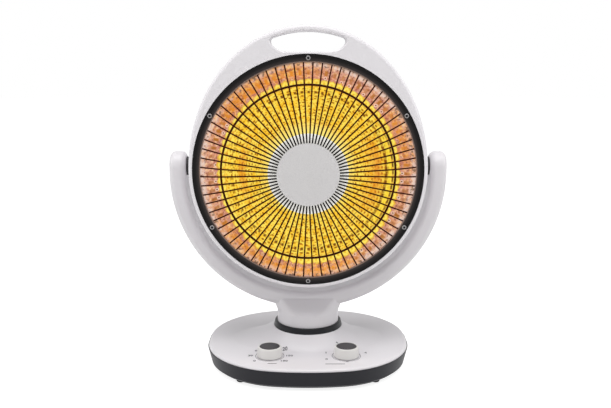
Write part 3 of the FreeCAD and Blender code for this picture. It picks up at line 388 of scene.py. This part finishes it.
def moulded(name, pale, deep, roughness, grain=1400.0, grain_depth=0.00002, shine=0.5):
    """Moulded plastic or rubber: a cloudy tone, a fine spark-eroded grain and uneven gloss."""
    material, tree, shader, place = new_finish(name)
    cloud = noise(tree, place, 14.0, 3.0)
    fine = noise(tree, place, grain)
    bump = shader_node(tree, "ShaderNodeBump", {"Height": fine, "Strength": 0.35, "Distance": grain_depth})
    feed(tree, shader, {
        "Base Color": blend_colours(tree, cloud, deep, pale),
        "Roughness": ramp(tree, fine, *noise_span, roughness - 0.05, roughness + 0.05),
        "Normal": bump.outputs["Normal"],
        "Specular IOR Level": shine,
    })
    return material


def plated(name, pale, deep, roughness):
    """Plated or brushed metal with fine streaks along one axis."""
    material, tree, shader, place = new_finish(name)
    drawn = shader_node(tree, "ShaderNodeMapping", {"Vector": place, "Scale": streak_scale}).outputs[0]
    lines = noise(tree, drawn, 1.0, 3.0)
    feed(tree, shader, {
        "Base Color": blend_colours(tree, lines, deep, pale),
        "Roughness": ramp(tree, lines, *noise_span, roughness - 0.06, roughness + 0.08),
        "Metallic": 1.0,
    })
    return material


def enamelled(name, pale, deep, roughness, shine, light=None):
    """Stoved enamel: slight orange peel and a few duller clouds; a light is a colour and a strength."""
    material, tree, shader, place = new_finish(name)
    cloud = noise(tree, place, 30.0, 3.0)
    peel = noise(tree, place, 600.0, 1.0)
    bump = shader_node(tree, "ShaderNodeBump", {"Height": peel, "Strength": 0.4, "Distance": 0.00003})
    feed(tree, shader, {
        "Base Color": blend_colours(tree, cloud, deep, pale),
        "Roughness": ramp(tree, cloud, *noise_span, roughness - 0.06, roughness + 0.08),
        "Normal": bump.outputs["Normal"],
        "Specular IOR Level": shine,
    })
    if light:
        feed(tree, shader, {"Emission Color": light[0], "Emission Strength": light[1]})
    return material


def glow_tinted_wires(name):
    """Black enamel, with a painted brown between the centre cap and the rim where the reflector's glow lights
    the wires.
    """
    material, tree, shader, place = new_finish(name)
    radius = polar(tree, place)[0]
    # Painted light: the glow tints the wires brown over the lit dish
    glow_share = between(tree, radius, *glow_tinted_r, glow_tinted_soft)
    cloud = noise(tree, place, 60.0, 3.0)
    glow_brown = blend_colours(tree, cloud, linear(46, 12, 2), linear(68, 22, 4))
    feed(tree, shader, {
        "Base Color": blend_colours(tree, glow_share, linear(12, 11, 11), glow_brown),
        "Roughness": ramp(tree, cloud, *noise_span, 0.40, 0.55),
        "Specular IOR Level": 0.05,
    })
    return material


def rim_enamel_painted_glow(name):
    """Black enamel with painted light: the glow lighting the rim's inner edge, and a grey that darkens
    outwards.
    """
    material, tree, shader, place = new_finish(name)
    radius = polar(tree, place)[0]
    cloud = noise(tree, place, 40.0, 3.0)
    edge = blend_colours(tree, cloud, linear(132, 110, 101), linear(154, 130, 119))
    body = blend_colours(tree, ramp(tree, radius, *rim_body_r), linear(50, 44, 43), linear(8, 6, 6))
    feed(tree, shader, {
        "Base Color": blend_colours(tree, ramp(tree, radius, *rim_edge_r), edge, body),
        "Roughness": ramp(tree, cloud, *noise_span, 0.34, 0.48),
        "Specular IOR Level": 0.15,
    })
    return material


def silver_paint(name):
    """Satin silver paint: pale grey with fine metal flakes."""
    material, tree, shader, place = new_finish(name)
    flakes = shader_node(tree, "ShaderNodeTexVoronoi", {"Vector": place, "Scale": 2600.0}).outputs["Color"]
    sparkle = shader_node(tree, "ShaderNodeSeparateColor", {"Color": flakes}).outputs["Red"]
    feed(tree, shader, {
        "Base Color": blend_colours(tree, sparkle, linear(196, 194, 194), linear(210, 208, 208)),
        "Roughness": ramp(tree, sparkle, 0.0, 1.0, 0.42, 0.56),
        "Metallic": 0.15,
    })
    return material


def towards(tree, turn, degrees, reach):
    """One where the turn points along an angle, falling to nothing at a reach to either side of it."""
    apart = calc(tree, "COSINE", calc(tree, "SUBTRACT", turn, math.radians(degrees)))
    return ramp(tree, apart, math.cos(math.radians(reach)), math.cos(math.radians(reach / 3)))


def dots(tree, column, radius, per_column, row_pitch, scatter):
    """Distance to the nearest of the dots that stand in rows across each column of facets."""
    across = calc(tree, "MULTIPLY", column, per_column)
    along = calc(tree, "DIVIDE", radius, row_pitch)
    grid = shader_node(tree, "ShaderNodeCombineXYZ", {"X": across, "Y": along}).outputs[0]
    inputs = {"Vector": grid, "Scale": 1.0, "Randomness": scatter}
    return shader_node(tree, "ShaderNodeTexVoronoi", inputs, voronoi_dimensions="2D").outputs["Distance"]


def from_spot(tree, across, radius, spot_r):
    """Distance to the spot that lies at a radius in the middle of each column of facets."""
    sideways = product(tree, across, radius, 2 * math.pi / facet_columns)
    along = calc(tree, "SUBTRACT", radius, spot_r)
    squares = calc(tree, "ADD", product(tree, sideways, sideways), product(tree, along, along))
    return calc(tree, "SQRT", squares)


def inner_glow(tree, place, radius, turn, column, across, middle):
    """Painted glow: yellow facets with brown dots, warm flanks, a dark row inside the hoop painted as a
    reflection, painted dark dashes reflecting the hoop on the right, and lemon blocks outside it.
    """
    patches = noise(tree, place, *glow_noises["patches"])
    facets = blend_colours(tree, ramp(tree, patches, 0.40, 0.66), glow_tones["yellow"], glow_tones["gold"])
    small = ramp(tree, dots(tree, column, radius, 2.0, small_dot_pitch, 0.75), 0.14, 0.42, 0.85, 0.0)
    small_clouds = noise(tree, place, *glow_noises["small_dots"])
    small = product(tree, small, ramp(tree, small_clouds, 0.36, 0.60, 0.35, 1.0))
    large = ramp(tree, dots(tree, column, radius, 1.0, large_dot_pitch, 0.55), 0.16, 0.30, 1.0, 0.0)
    large_clouds = noise(tree, place, *glow_noises["large_dots"])
    large = product(tree, large, ramp(tree, large_clouds, 0.34, 0.56, 0.45, 1.0))
    side = towards(tree, turn, side_turn, side_reach)
    golden = product(tree, side, between(tree, radius, *golden_r, golden_soft), golden_share)
    sideways = calc(tree, "COSINE", turn)
    flank = calc(tree, "POWER", calc(tree, "ABSOLUTE", sideways), flank_narrowness)
    leaning = calc(tree, "SUBTRACT", radius, calc(tree, "MULTIPLY", sideways, flank_lean))
    flank = product(tree, flank, between(tree, leaning, *flank_r, flank_soft), flank_share)
    # A dark row inside the hoop, a painted reflection in the dish
    upright = ramp(tree, calc(tree, "ABSOLUTE", calc(tree, "SINE", turn)), 0.3, 0.95, 0.6, 1.0)
    at_wires = product(tree, ramp(tree, across, *beside_wire), side)
    row = calc(tree, "MAXIMUM", product(tree, middle, upright), at_wires)
    row = product(tree, between(tree, radius, *dark_row_r, dark_row_soft), row)
    arc = product(tree, between(tree, radius, *arc_r, arc_soft), side, arc_share)
    # Dark dashes on the right, a painted reflection of the hoop
    dash = product(tree, between(tree, radius, *dash_r, dash_soft), ramp(tree, across, *dash_width, 1.0, 0.0))
    dash = product(tree, dash, side)
    apart = from_spot(tree, across, radius, block_r)
    block = laid_over(
        tree, glow_tones["block_middle"],
        (ramp(tree, apart, *block_middle), glow_tones["block"]),
        (ramp(tree, apart, *block_edge), glow_tones["block_edge"]),
    )
    streaks = ramp(tree, noise(tree, place, *glow_noises["streaks"]), 0.50, 0.66, 0.0, 0.5)
    streaks = product(tree, streaks, ramp(tree, radius, *lemon_r))
    return laid_over(
        tree, facets,
        (small, glow_tones["small_dot"]),
        (large, glow_tones["large_dot"]),
        (golden, glow_tones["golden_side"]),
        (flank, glow_tones["flank"]),
        (row, glow_tones["reflected_dark_row"]),
        (arc, glow_tones["side_arc"]),
        (ramp(tree, radius, *lemon_r, 0.0, block_share), block),
        (dash, glow_tones["reflected_hoop_dash"]),
        (streaks, glow_tones["lemon_streak"]),
        (ramp(tree, radius, *core_r, 1.0, 0.0), glow_tones["core"]),
    )


def band_glow(tree, place, radius, turn, across, middle, chance):
    """Painted glow on the outer band of cells: orange with pink zones, a darker patch, a ringed dot that is a
    painted reflection, a pale outer end and painted shade of the rim at the top.
    """
    zones = towards(tree, turn, *pink_zones[0])
    for zone in pink_zones[1:]:
        zones = calc(tree, "MAXIMUM", zones, towards(tree, turn, *zone))
    zones = calc(tree, "MULTIPLY", zones, pink_share)
    blotches = noise(tree, place, *glow_noises["blotches"])
    flecks = noise(tree, place, *glow_noises["flecks"])
    pink = calc(tree, "ADD", zones, calc(tree, "MULTIPLY", chance["Red"], pink_chance))
    pink = calc(tree, "ADD", pink, ramp(tree, blotches, 0.44, 0.64, 0.0, 0.6))
    cells = blend_colours(tree, pink, glow_tones["orange"], glow_tones["pink"])
    mauve = product(tree, ramp(tree, radius, *mauve_r, 0.9, 0.0), ramp(tree, blotches, 0.34, 0.58))
    pale_fleck = blend_colours(tree, zones, glow_tones["orange_fleck"], glow_tones["pink_fleck"])
    patch = product(tree, between(tree, radius, *patch_r, patch_soft), middle)
    patch = product(tree, patch, ramp(tree, chance["Green"], 0.0, 1.0, 0.50, 0.95))
    patch_tone = blend_colours(tree, zones, glow_tones["orange_patch"], glow_tones["brown_patch"])
    outer_end = ramp(tree, polar(tree, place)[0], *ends_r)
    ends = product(tree, outer_end, ramp(tree, blotches, 0.38, 0.58, 0.25, 0.95))
    ends = product(tree, ends, ramp(tree, zones, 0.0, 0.5, 0.45, 1.0))
    specks = product(tree, outer_end, ramp(tree, flecks, 0.36, 0.44, 0.85, 0.0))
    # Ringed dot: a painted reflection, a dark core in a pale halo
    apart = from_spot(tree, across, radius, ringed_dot_r)
    shown = product(tree, ramp(tree, chance["Blue"], 0.35, 0.55), ramp(tree, zones, 0.0, 0.4, 0.35, 1.0))
    halo = product(tree, between(tree, apart, *ringed_dot_halo, halo_soft), shown, halo_share)
    dot = product(tree, ramp(tree, apart, *ringed_dot_core, 1.0, 0.0), shown, ringed_dot_share)
    # Painted shade of the rim across the top of the band
    upright = ramp(tree, calc(tree, "SINE", turn), 0.50, 0.95, 0.1, 0.85)
    shade = product(tree, ramp(tree, polar(tree, place, drop=-shade_rise)[0], *shade_r), upright)
    return laid_over(
        tree, cells,
        (mauve, glow_tones["mauve"]),
        (ramp(tree, flecks, 0.53, 0.66, 0.0, 0.8), pale_fleck),
        (ramp(tree, flecks, 0.34, 0.48, 0.8, 0.0), glow_tones["dark_fleck"]),
        (patch, patch_tone),
        (ends, glow_tones["pale_end"]),
        (specks, glow_tones["end_speck"]),
        (halo, glow_tones["halo"]),
        (dot, glow_tones["ringed_dot"]),
        (shade, glow_tones["top_shade"]),
    )


def painted_glow_dish(name):
    """Reflector with the coil's light painted on as emission: yellow facets, then a ragged edge and the outer
    band.
    """
    material, tree, shader, place = new_finish(name)
    radius, turn = polar(tree, place, glow_across, glow_drop, glow_stretch)
    column = calc(tree, "MULTIPLY", turn, facet_columns / (2 * math.pi))
    column = calc(tree, "ADD", column, facet_columns + 0.5)
    across = calc(tree, "ABSOLUTE", calc(tree, "SUBTRACT", calc(tree, "FRACT", column), 0.5))
    middle = ramp(tree, across, *column_middle, 1.0, 0.0)
    number = calc(tree, "FLOOR", column)
    cell = shader_node(tree, "ShaderNodeTexWhiteNoise", {"W": number}, noise_dimensions="1D").outputs["Color"]
    chance = shader_node(tree, "ShaderNodeSeparateColor", {"Color": cell}).outputs
    inside = inner_glow(tree, place, radius, turn, column, across, middle)
    band = band_glow(tree, place, radius, turn, across, middle, chance)
    ragged = ramp(tree, noise(tree, place, *glow_noises["ragged"]), 0.35, 0.65, -ragged_edge, ragged_edge)
    ragged = calc(tree, "ADD", ragged, ramp(tree, chance["Green"], 0.0, 1.0, -ragged_edge, ragged_edge))
    rounded = product(tree, across, across, block_corner)
    edge = calc(tree, "ADD", calc(tree, "ADD", radius, ragged), rounded)
    tarnish = noise(tree, place, *glow_noises["tarnish"])
    # The emission is painted light: the coil's glow as the faceted dish reflects it
    feed(tree, shader, {
        "Emission Color": blend_colours(tree, ramp(tree, edge, *band_r), inside, band),
        "Emission Strength": glow_light,
        "Base Color": blend_colours(tree, tarnish, linear(84, 62, 24), linear(112, 86, 40)),
        "Roughness": ramp(tree, tarnish, *noise_span, 0.22, 0.34),
        "Metallic": 1.0,
    })
    return material


def glowing_wire(name):
    """Red-hot resistance wire, brighter in patches."""
    material, tree, shader, place = new_finish(name)
    glow_share = noise(tree, place, 160.0)
    feed(tree, shader, {
        "Emission Color": blend_colours(tree, glow_share, linear(255, 120, 20), linear(255, 214, 96)),
        "Emission Strength": coil_light,
        "Base Color": blend_colours(tree, glow_share, linear(90, 50, 30), linear(130, 80, 50)),
        "Roughness": 0.6,
    })
    return material


# One finish to each slot of the record
finishes = {
    "shell": moulded("shell_plastic", linear(221, 218, 221), linear(215, 212, 215), 0.40,
                     grain_depth=shell_grain_depth),
    "tray": moulded("tray_plastic", linear(31, 31, 37), linear(26, 26, 31), 0.46,
                    grain=1100.0, grain_depth=0.00003, shine=0.2),
    "collar": moulded("collar_plastic", linear(28, 29, 32), linear(23, 24, 27), 0.36, shine=0.18),
    "rubber": moulded("foot_rubber", linear(36, 36, 38), linear(28, 28, 30), 0.70,
                      grain=800.0, grain_depth=0.00005, shine=0.2),
    "steel": plated("zinc_steel", linear(190, 190, 192), linear(160, 160, 164), 0.36),
    "screw": plated("nickel_screw", linear(150, 148, 148), linear(122, 120, 121), 0.34),
    "bearing": moulded("bearing_plastic", linear(228, 228, 222), linear(220, 220, 213), 0.35),
    "unit": moulded("control_plastic", linear(50, 50, 52), linear(42, 42, 44), 0.48),
    "motor": plated("motor_can", linear(176, 176, 178), linear(150, 150, 153), 0.42),
    "knob": moulded("knob_plastic", linear(218, 216, 214), linear(211, 209, 206), 0.34),
    "knob_cap": moulded("knob_insert", linear(60, 57, 60), linear(53, 50, 53), 0.46, shine=0.2),
    "guard": enamelled("black_enamel", linear(11, 9, 9), linear(7, 6, 6), 0.40, 0.15),
    # The white plate glows with painted light, in place of the coil's glow falling on it
    "shield": enamelled("white_enamel", linear(250, 250, 248), linear(246, 245, 243), 0.40, 0.5,
                        light=(linear(255, 252, 244), plate_painted_light)),
    "cap": silver_paint("silver_paint"),
    "reflector": painted_glow_dish("painted_glow_dish"),
    "ceramic": moulded("white_ceramic", linear(236, 228, 212), linear(226, 217, 199), 0.42),
    "coil": glowing_wire("glowing_wire"),
    "brass": plated("bare_brass", linear(216, 178, 98), linear(190, 150, 72), 0.30),
}

# Finishes of single nodes and of new pieces
# A lighter copy of the shell plastic for the head: painted light, the head brighter than the rest of the same
# plastic
lit_head_plastic = moulded("lit_head_plastic", linear(228, 225, 228), linear(223, 220, 223), 0.40,
                       grain_depth=shell_grain_depth)
# Tilt washers dark grey: painted shade for the shadowed gap between the yoke's tips and the head
washer_painted_shade = moulded("washer_painted_shade", linear(62, 60, 62), linear(50, 48, 50), 0.66,
                       grain=900.0, grain_depth=0.00004, shine=0.2)
own_finishes = {
    "front_bezel": lit_head_plastic,
    "rear_shell": lit_head_plastic,
    "wire_guard": glow_tinted_wires("glow_tinted_enamel"),
    "guard_rim": rim_enamel_painted_glow("rim_enamel_painted_glow"),
    "tilt_washers": washer_painted_shade,
}
dish_back = plated("dish_back", linear(176, 174, 172), linear(150, 148, 147), 0.32)
# Screw sockets dark: painted shade in the recess
socket_painted_shade = moulded("screw_socket_painted_shade", linear(30, 30, 32), linear(22, 22, 24), 0.60, shine=0.2)
ink = moulded("dial_ink", linear(84, 82, 88), linear(72, 70, 76), 0.52,
              grain=900.0, grain_depth=0.00001, shine=0.2)


def dress_frame():
    """Every node of the frame gets the finish of its record slot, a few nodes one of their own."""
    for entry in frame["record"]["subparts"]:
        finish = own_finishes.get(entry["node"], finishes[entry["material_slot"]])
        for slot in frame["nodes"][entry["node"]].material_slots:
            slot.material = finish


# New pieces

def finished(name, shape, materials, body, replaces=(), smooth=None):
    """Turns a shape into a piece that rides on a body."""
    mesh = bpy.data.meshes.new(name)
    shape.to_mesh(mesh)
    shape.free()
    for material in materials:
        mesh.materials.append(material)
    if smooth is not None:
        mesh.shade_smooth()
        mesh.set_sharp_from_angle(angle=smooth)
    item = bpy.data.objects.new(name, mesh)
    bpy.context.scene.collection.objects.link(item)
    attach(item, body)
    if replaces:
        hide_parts(*replaces)


def closed(shape, merge=1e-6):
    """Merges doubles and turns all faces outwards."""
    bmesh.ops.remove_doubles(shape, verts=shape.verts[:], dist=merge)
    bmesh.ops.recalc_face_normals(shape, faces=shape.faces[:])


def all_of(shape):
    """Corners, edges and faces of a shape."""
    return shape.verts[:] + shape.edges[:] + shape.faces[:]


def corners_of(made):
    """The corners among things just made."""
    return [item for item in made if isinstance(item, bmesh.types.BMVert)]


def open_edges(shape):
    """Edges with a face on one side only."""
    return [edge for edge in shape.edges if edge.is_boundary]


def foremost_face(shape):
    """The face that is nearest to the front."""
    return min(shape.faces, key=lambda face: face.calc_center_median().y)


def round_the_head(shape, count):
    """Repeats a shape evenly round the head's axis."""
    bmesh.ops.spin(shape, geom=all_of(shape), cent=head_centre, axis=head_axis, dvec=(0, 0, 0),
                   angle=-2 * math.pi * (count - 1) / count, steps=count - 1, use_duplicate=True)


def dish_y(radius):
    """How far back the dish lies at a radius."""
    return dish_rim_y + dish_depth * (1 - (min(radius, dish_rim_r) / dish_rim_r) ** 2)


def reflector():
    """One column of crowned facets, repeated round the head, with a flat flange and the sheet's thickness."""
    step = (dish_band_r - dish_hole_r) / facet_rings
    radii = [dish_hole_r + step * ring for ring in range(facet_rings + 1)] + [dish_rim_r, dish_flange_r]
    crowns = [facet_crown] * facet_rings + [band_crown, 0.0]
    count = len(crowns)
    half = math.pi / facet_columns
    left = Vector((math.cos(half), 0, -math.sin(half)))
    right = Vector((math.cos(half), 0, math.sin(half)))
    shape = bmesh.new()
    bmesh.ops.create_grid(shape, x_segments=facet_steps, y_segments=facet_steps * count, size=0.5)
    for corner in shape.verts:
        across = corner.co.x + 0.5
        along = (corner.co.y + 0.5) * count
        ring = min(int(along + row_rounding), count - 1)
        share = along - ring
        inner, outer = radii[ring], radii[ring + 1]
        rise = dish_y(inner) * (1 - share) + dish_y(outer) * share
        # The factor of 16 gives the full crown in the middle of a facet
        rise -= crowns[ring] * 16 * across * (1 - across) * share * (1 - share)
        radius = inner + (outer - inner) * share
        corner.co = head_centre + left.lerp(right, across) * radius + head_axis * rise
    round_the_head(shape, facet_columns)
    closed(shape, column_seam)
    if sum(face.normal.y for face in shape.faces) > 0:
        bmesh.ops.reverse_faces(shape, faces=shape.faces[:])
    bmesh.ops.solidify(shape, geom=shape.faces[:], thickness=dish_sheet)
    closed(shape)
    for face in shape.faces:
        face.material_index = 1 if face.normal.y > 0 else 0
    materials = [finishes["reflector"], dish_back]
    finished("faceted_reflector", shape, materials, "head", ["reflector"])


def heating_coil():
    """One wire wound round the former by turning a ring along the axis, with two short straight leads."""
    wind_r = (coil_high.z - coil_low.z) / 2 - coil_wire_r
    back_y = coil_low.y + coil_wire_r + coil_turns * coil_pitch
    shape = bmesh.new()
    bmesh.ops.create_circle(shape, segments=coil_sides, radius=coil_wire_r,
                            matrix=Matrix.Translation(Vector((wind_r, back_y, head_centre.z))))
    bmesh.ops.spin(shape, geom=all_of(shape), cent=head_centre, axis=head_axis,
                   dvec=head_axis * (-coil_pitch / coil_steps), angle=-2 * math.pi * coil_turns,
                   steps=coil_turns * coil_steps)
    for end in (1, -1):
        loop = [edge for edge in open_edges(shape) if (edge.verts[0].co.y - back_y + coil_pitch) * end > 0]
        lead = corners_of(bmesh.ops.extrude_edge_only(shape, edges=loop)["geom"])
        bmesh.ops.translate(shape, verts=lead, vec=(0, 0, -coil_lead * end))
    bmesh.ops.holes_fill(shape, edges=open_edges(shape), sides=coil_sides)
    closed(shape)
    finished("heating_coil", shape, [finishes["coil"]], "head", ["heater_coil"], coil_smooth)


def centre_cap():
    """Plain disc: a round face drawn forward to a low cone, a short edge and a flat back."""
    edge_y = cap_high.y - cap_edge_h
    facing = Matrix.Translation(head_centre + head_axis * edge_y) @ Matrix.Rotation(math.radians(90), 4, "X")
    shape = bmesh.new()
    bmesh.ops.create_circle(shape, cap_ends=True, segments=cap_sides, radius=cap_r, matrix=facing)
    tip = bmesh.ops.poke(shape, faces=shape.faces[:])["verts"]
    bmesh.ops.translate(shape, verts=tip, vec=head_axis * (cap_low.y - edge_y))
    edge = corners_of(bmesh.ops.extrude_edge_only(shape, edges=open_edges(shape))["geom"])
    bmesh.ops.translate(shape, verts=edge, vec=(0, cap_edge_h, 0))
    back = corners_of(bmesh.ops.extrude_edge_only(shape, edges=open_edges(shape))["geom"])
    bmesh.ops.pointmerge(shape, verts=back, merge_co=head_centre + Vector((0, cap_high.y, 0)))
    closed(shape)
    finished("centre_cap", shape, [finishes["cap"]], "head", ["guard_cap"], cap_smooth)


def rim_screws():
    """Six round-headed screws with a socket painted dark as shade, their shanks behind the rim."""
    seat_y = screw_low.y + screw_head_h
    shank = screw_high.y - seat_y
    facing = Matrix.Rotation(math.radians(90), 4, "X")
    spot = head_centre + Vector((0, seat_y, screw_circle_r))
    head_place = Matrix.Translation(spot - head_axis * (screw_head_h / 2)) @ facing
    shank_place = Matrix.Translation(spot + head_axis * (shank / 2)) @ facing
    shape = bmesh.new()
    bmesh.ops.create_cone(shape, cap_ends=True, segments=screw_sides, radius1=screw_head_r,
                          radius2=screw_head_r, depth=screw_head_h, matrix=head_place)
    bmesh.ops.bevel(shape, geom=foremost_face(shape).edges[:], offset=screw_edge, offset_type="OFFSET",
                    segments=screw_edge_steps, profile=0.5, affect="EDGES", material=-1)
    front = foremost_face(shape)
    flat_r = (front.verts[0].co - front.calc_center_median()).length
    bmesh.ops.inset_region(shape, faces=[front], thickness=flat_r - socket_r)
    sunk = bmesh.ops.extrude_discrete_faces(shape, faces=[front])["faces"][0]
    bmesh.ops.translate(shape, verts=sunk.verts[:], vec=head_axis * socket_depth)
    # The socket and its walls take the painted shade
    sunk.material_index = 1
    for edge in sunk.edges:
        for wall in edge.link_faces:
            wall.material_index = 1
    bmesh.ops.create_cone(shape, cap_ends=True, segments=shank_sides, radius1=shank_r, radius2=shank_r,
                          depth=shank, matrix=shank_place)
    round_the_head(shape, screw_count)
    closed(shape)
    materials = [finishes["screw"], socket_painted_shade]
    finished("rim_screws_round", shape, materials, "head", ["rim_screws"], screw_smooth)


def laid_on_cover(shape):
    """Lets flat printing follow the cover: heights in the shape count from the cover's surface."""
    cover = frame["nodes"]["base_cover"]
    for corner in shape.verts:
        start = Vector((corner.co.x, corner.co.y, above_cover))
        met = cover.ray_cast(start, Vector((0, 0, -1)))[1]
        corner.co.z += met.z


def flat_bar(shape, centre, length, width):
    """A thin printed bar that lies across."""
    size = Matrix.Diagonal((length, width, print_h, 1))
    spot = Matrix.Translation(Vector((centre.x, centre.y, print_rise + print_h / 2)))
    bmesh.ops.create_cube(shape, size=1.0, matrix=spot @ size)


def figure(shape, words, centre):
    """A number printed upright at a place, as mesh."""
    curve = bpy.data.curves.new("figure", "FONT")
    curve.body = words
    curve.size = number_size
    curve.align_x = "CENTER"
    curve.align_y = "CENTER"
    curve.extrude = print_h / 2
    curve.offset = number_weight
    curve.resolution_u = number_curve_steps
    text = bpy.data.objects.new("figure", curve)
    mesh = bpy.data.meshes.new_from_object(text)
    mesh.transform(Matrix.Translation(Vector((centre.x, centre.y, print_rise + print_h / 2))))
    shape.from_mesh(mesh)
    bpy.data.objects.remove(text)
    bpy.data.curves.remove(curve)
    bpy.data.meshes.remove(mesh)


def flat_ring(shape, centre):
    """A thin printed ring round a knob."""
    loops = []
    for radius in (ring_r, ring_r + ring_width):
        spot = Matrix.Translation(Vector((centre.x, centre.y, print_rise)))
        made = bmesh.ops.create_circle(shape, segments=ring_sides, radius=radius, matrix=spot)["verts"]
        loops += {edge for corner in made for edge in corner.link_edges}
    faces = bmesh.ops.bridge_loops(shape, edges=loops)["faces"]
    raised = corners_of(bmesh.ops.extrude_face_region(shape, geom=faces)["geom"])
    bmesh.ops.translate(shape, verts=raised, vec=(0, 0, print_h))


def dial(name, centre, numbers, first, last, reach, bars):
    """A ring and plain numbers round a knob, and plain bars in front of it."""
    shape = bmesh.new()
    flat_ring(shape, centre)
    for index, number in enumerate(numbers):
        turn = math.radians(first + (last - first) * index / (len(numbers) - 1))
        figure(shape, number, centre + Vector((math.cos(turn), math.sin(turn), 0)) * reach)
    for x, y, length in bars:
        flat_bar(shape, centre + Vector((x, y, 0)), length, bar_width)
    closed(shape)
    laid_on_cover(shape)
    finished(name, shape, [ink], "base")


def build_pieces():
    """Dresses the frame and adds the new pieces."""
    dress_frame()
    reflector()
    heating_coil()
    centre_cap()
    rim_screws()
    dial("timer_dial", timer_centre, timer_numbers, timer_first, timer_last, timer_reach, timer_bars)
    dial("selector_dial", selector_centre, selector_numbers, selector_first, selector_last, selector_reach,
         selector_bars)


# Stage, light and camera

def seen_directly(tree):
    """One for rays from the camera, and for those that metal and glass send on."""
    rays = shader_node(tree, "ShaderNodeLightPath", {}).outputs
    mirrored = calc(tree, "MAXIMUM", rays["Is Glossy Ray"], rays["Is Transmission Ray"])
    return calc(tree, "MAXIMUM", rays["Is Camera Ray"], mirrored)


def stage_floor():
    """A wide pale floor that looks white and keeps the shadow."""
    shape = bmesh.new()
    bmesh.ops.create_circle(shape, cap_ends=True, segments=floor_sides, radius=floor_r)
    mesh = bpy.data.meshes.new("floor")
    shape.to_mesh(mesh)
    shape.free()
    floor = bpy.data.objects.new("floor", mesh)
    bpy.context.scene.collection.objects.link(floor)
    material = bpy.data.materials.new("pale_floor")
    material.use_nodes = True
    tree = material.node_tree
    tree.nodes.clear()
    matt = shader_node(tree, "ShaderNodeBsdfDiffuse", {"Color": floor_grey}).outputs[0]
    faint = shader_node(tree, "ShaderNodeBsdfDiffuse", {"Color": seen_floor_grey}).outputs[0]
    shine = shader_node(tree, "ShaderNodeEmission", {"Color": white, "Strength": seen_floor_light}).outputs[0]
    bright = shader_node(tree, "ShaderNodeAddShader", {0: faint, 1: shine}).outputs[0]
    shown = shader_node(tree, "ShaderNodeMixShader", {0: seen_directly(tree), 1: matt, 2: bright}).outputs[0]
    shader_node(tree, "ShaderNodeOutputMaterial", {"Surface": shown})
    mesh.materials.append(material)


def sky():
    """A soft even fill, white where it is seen."""
    world = bpy.data.worlds.new("studio")
    bpy.context.scene.world = world
    world.use_nodes = True
    tree = world.node_tree
    tree.nodes.clear()
    fill = shader_node(tree, "ShaderNodeBackground", {"Color": white, "Strength": sky_fill}).outputs[0]
    seen = shader_node(tree, "ShaderNodeBackground", {"Color": white, "Strength": seen_sky_light}).outputs[0]
    shown = shader_node(tree, "ShaderNodeMixShader", {0: seen_directly(tree), 1: fill, 2: seen}).outputs[0]
    shader_node(tree, "ShaderNodeOutputWorld", {"Surface": shown})


def softbox(name, place, target, width, height, watts):
    """A rectangular light that faces a target."""
    light = bpy.data.lights.new(name, "AREA")
    light.shape = "RECTANGLE"
    light.size = width
    light.size_y = height
    light.energy = watts
    item = bpy.data.objects.new(name, light)
    item.location = place
    item.rotation_euler = (Vector(target) - Vector(place)).to_track_quat("-Z", "Y").to_euler()
    bpy.context.scene.collection.objects.link(item)


def camera():
    """The camera of the photograph."""
    data = bpy.data.cameras.new("camera")
    data.lens = camera_lens
    data.sensor_width = camera_sensor
    item = bpy.data.objects.new("camera", data)
    item.location = camera_place
    item.rotation_euler = (math.pi / 2 - camera_pitch, 0, 0)
    bpy.context.scene.collection.objects.link(item)
    bpy.context.scene.camera = item


build_pieces()
stage_floor()
sky()
for name, setting in softboxes.items():
    softbox(name, *setting)
camera()
bpy.context.scene.view_settings.view_transform = "Standard"
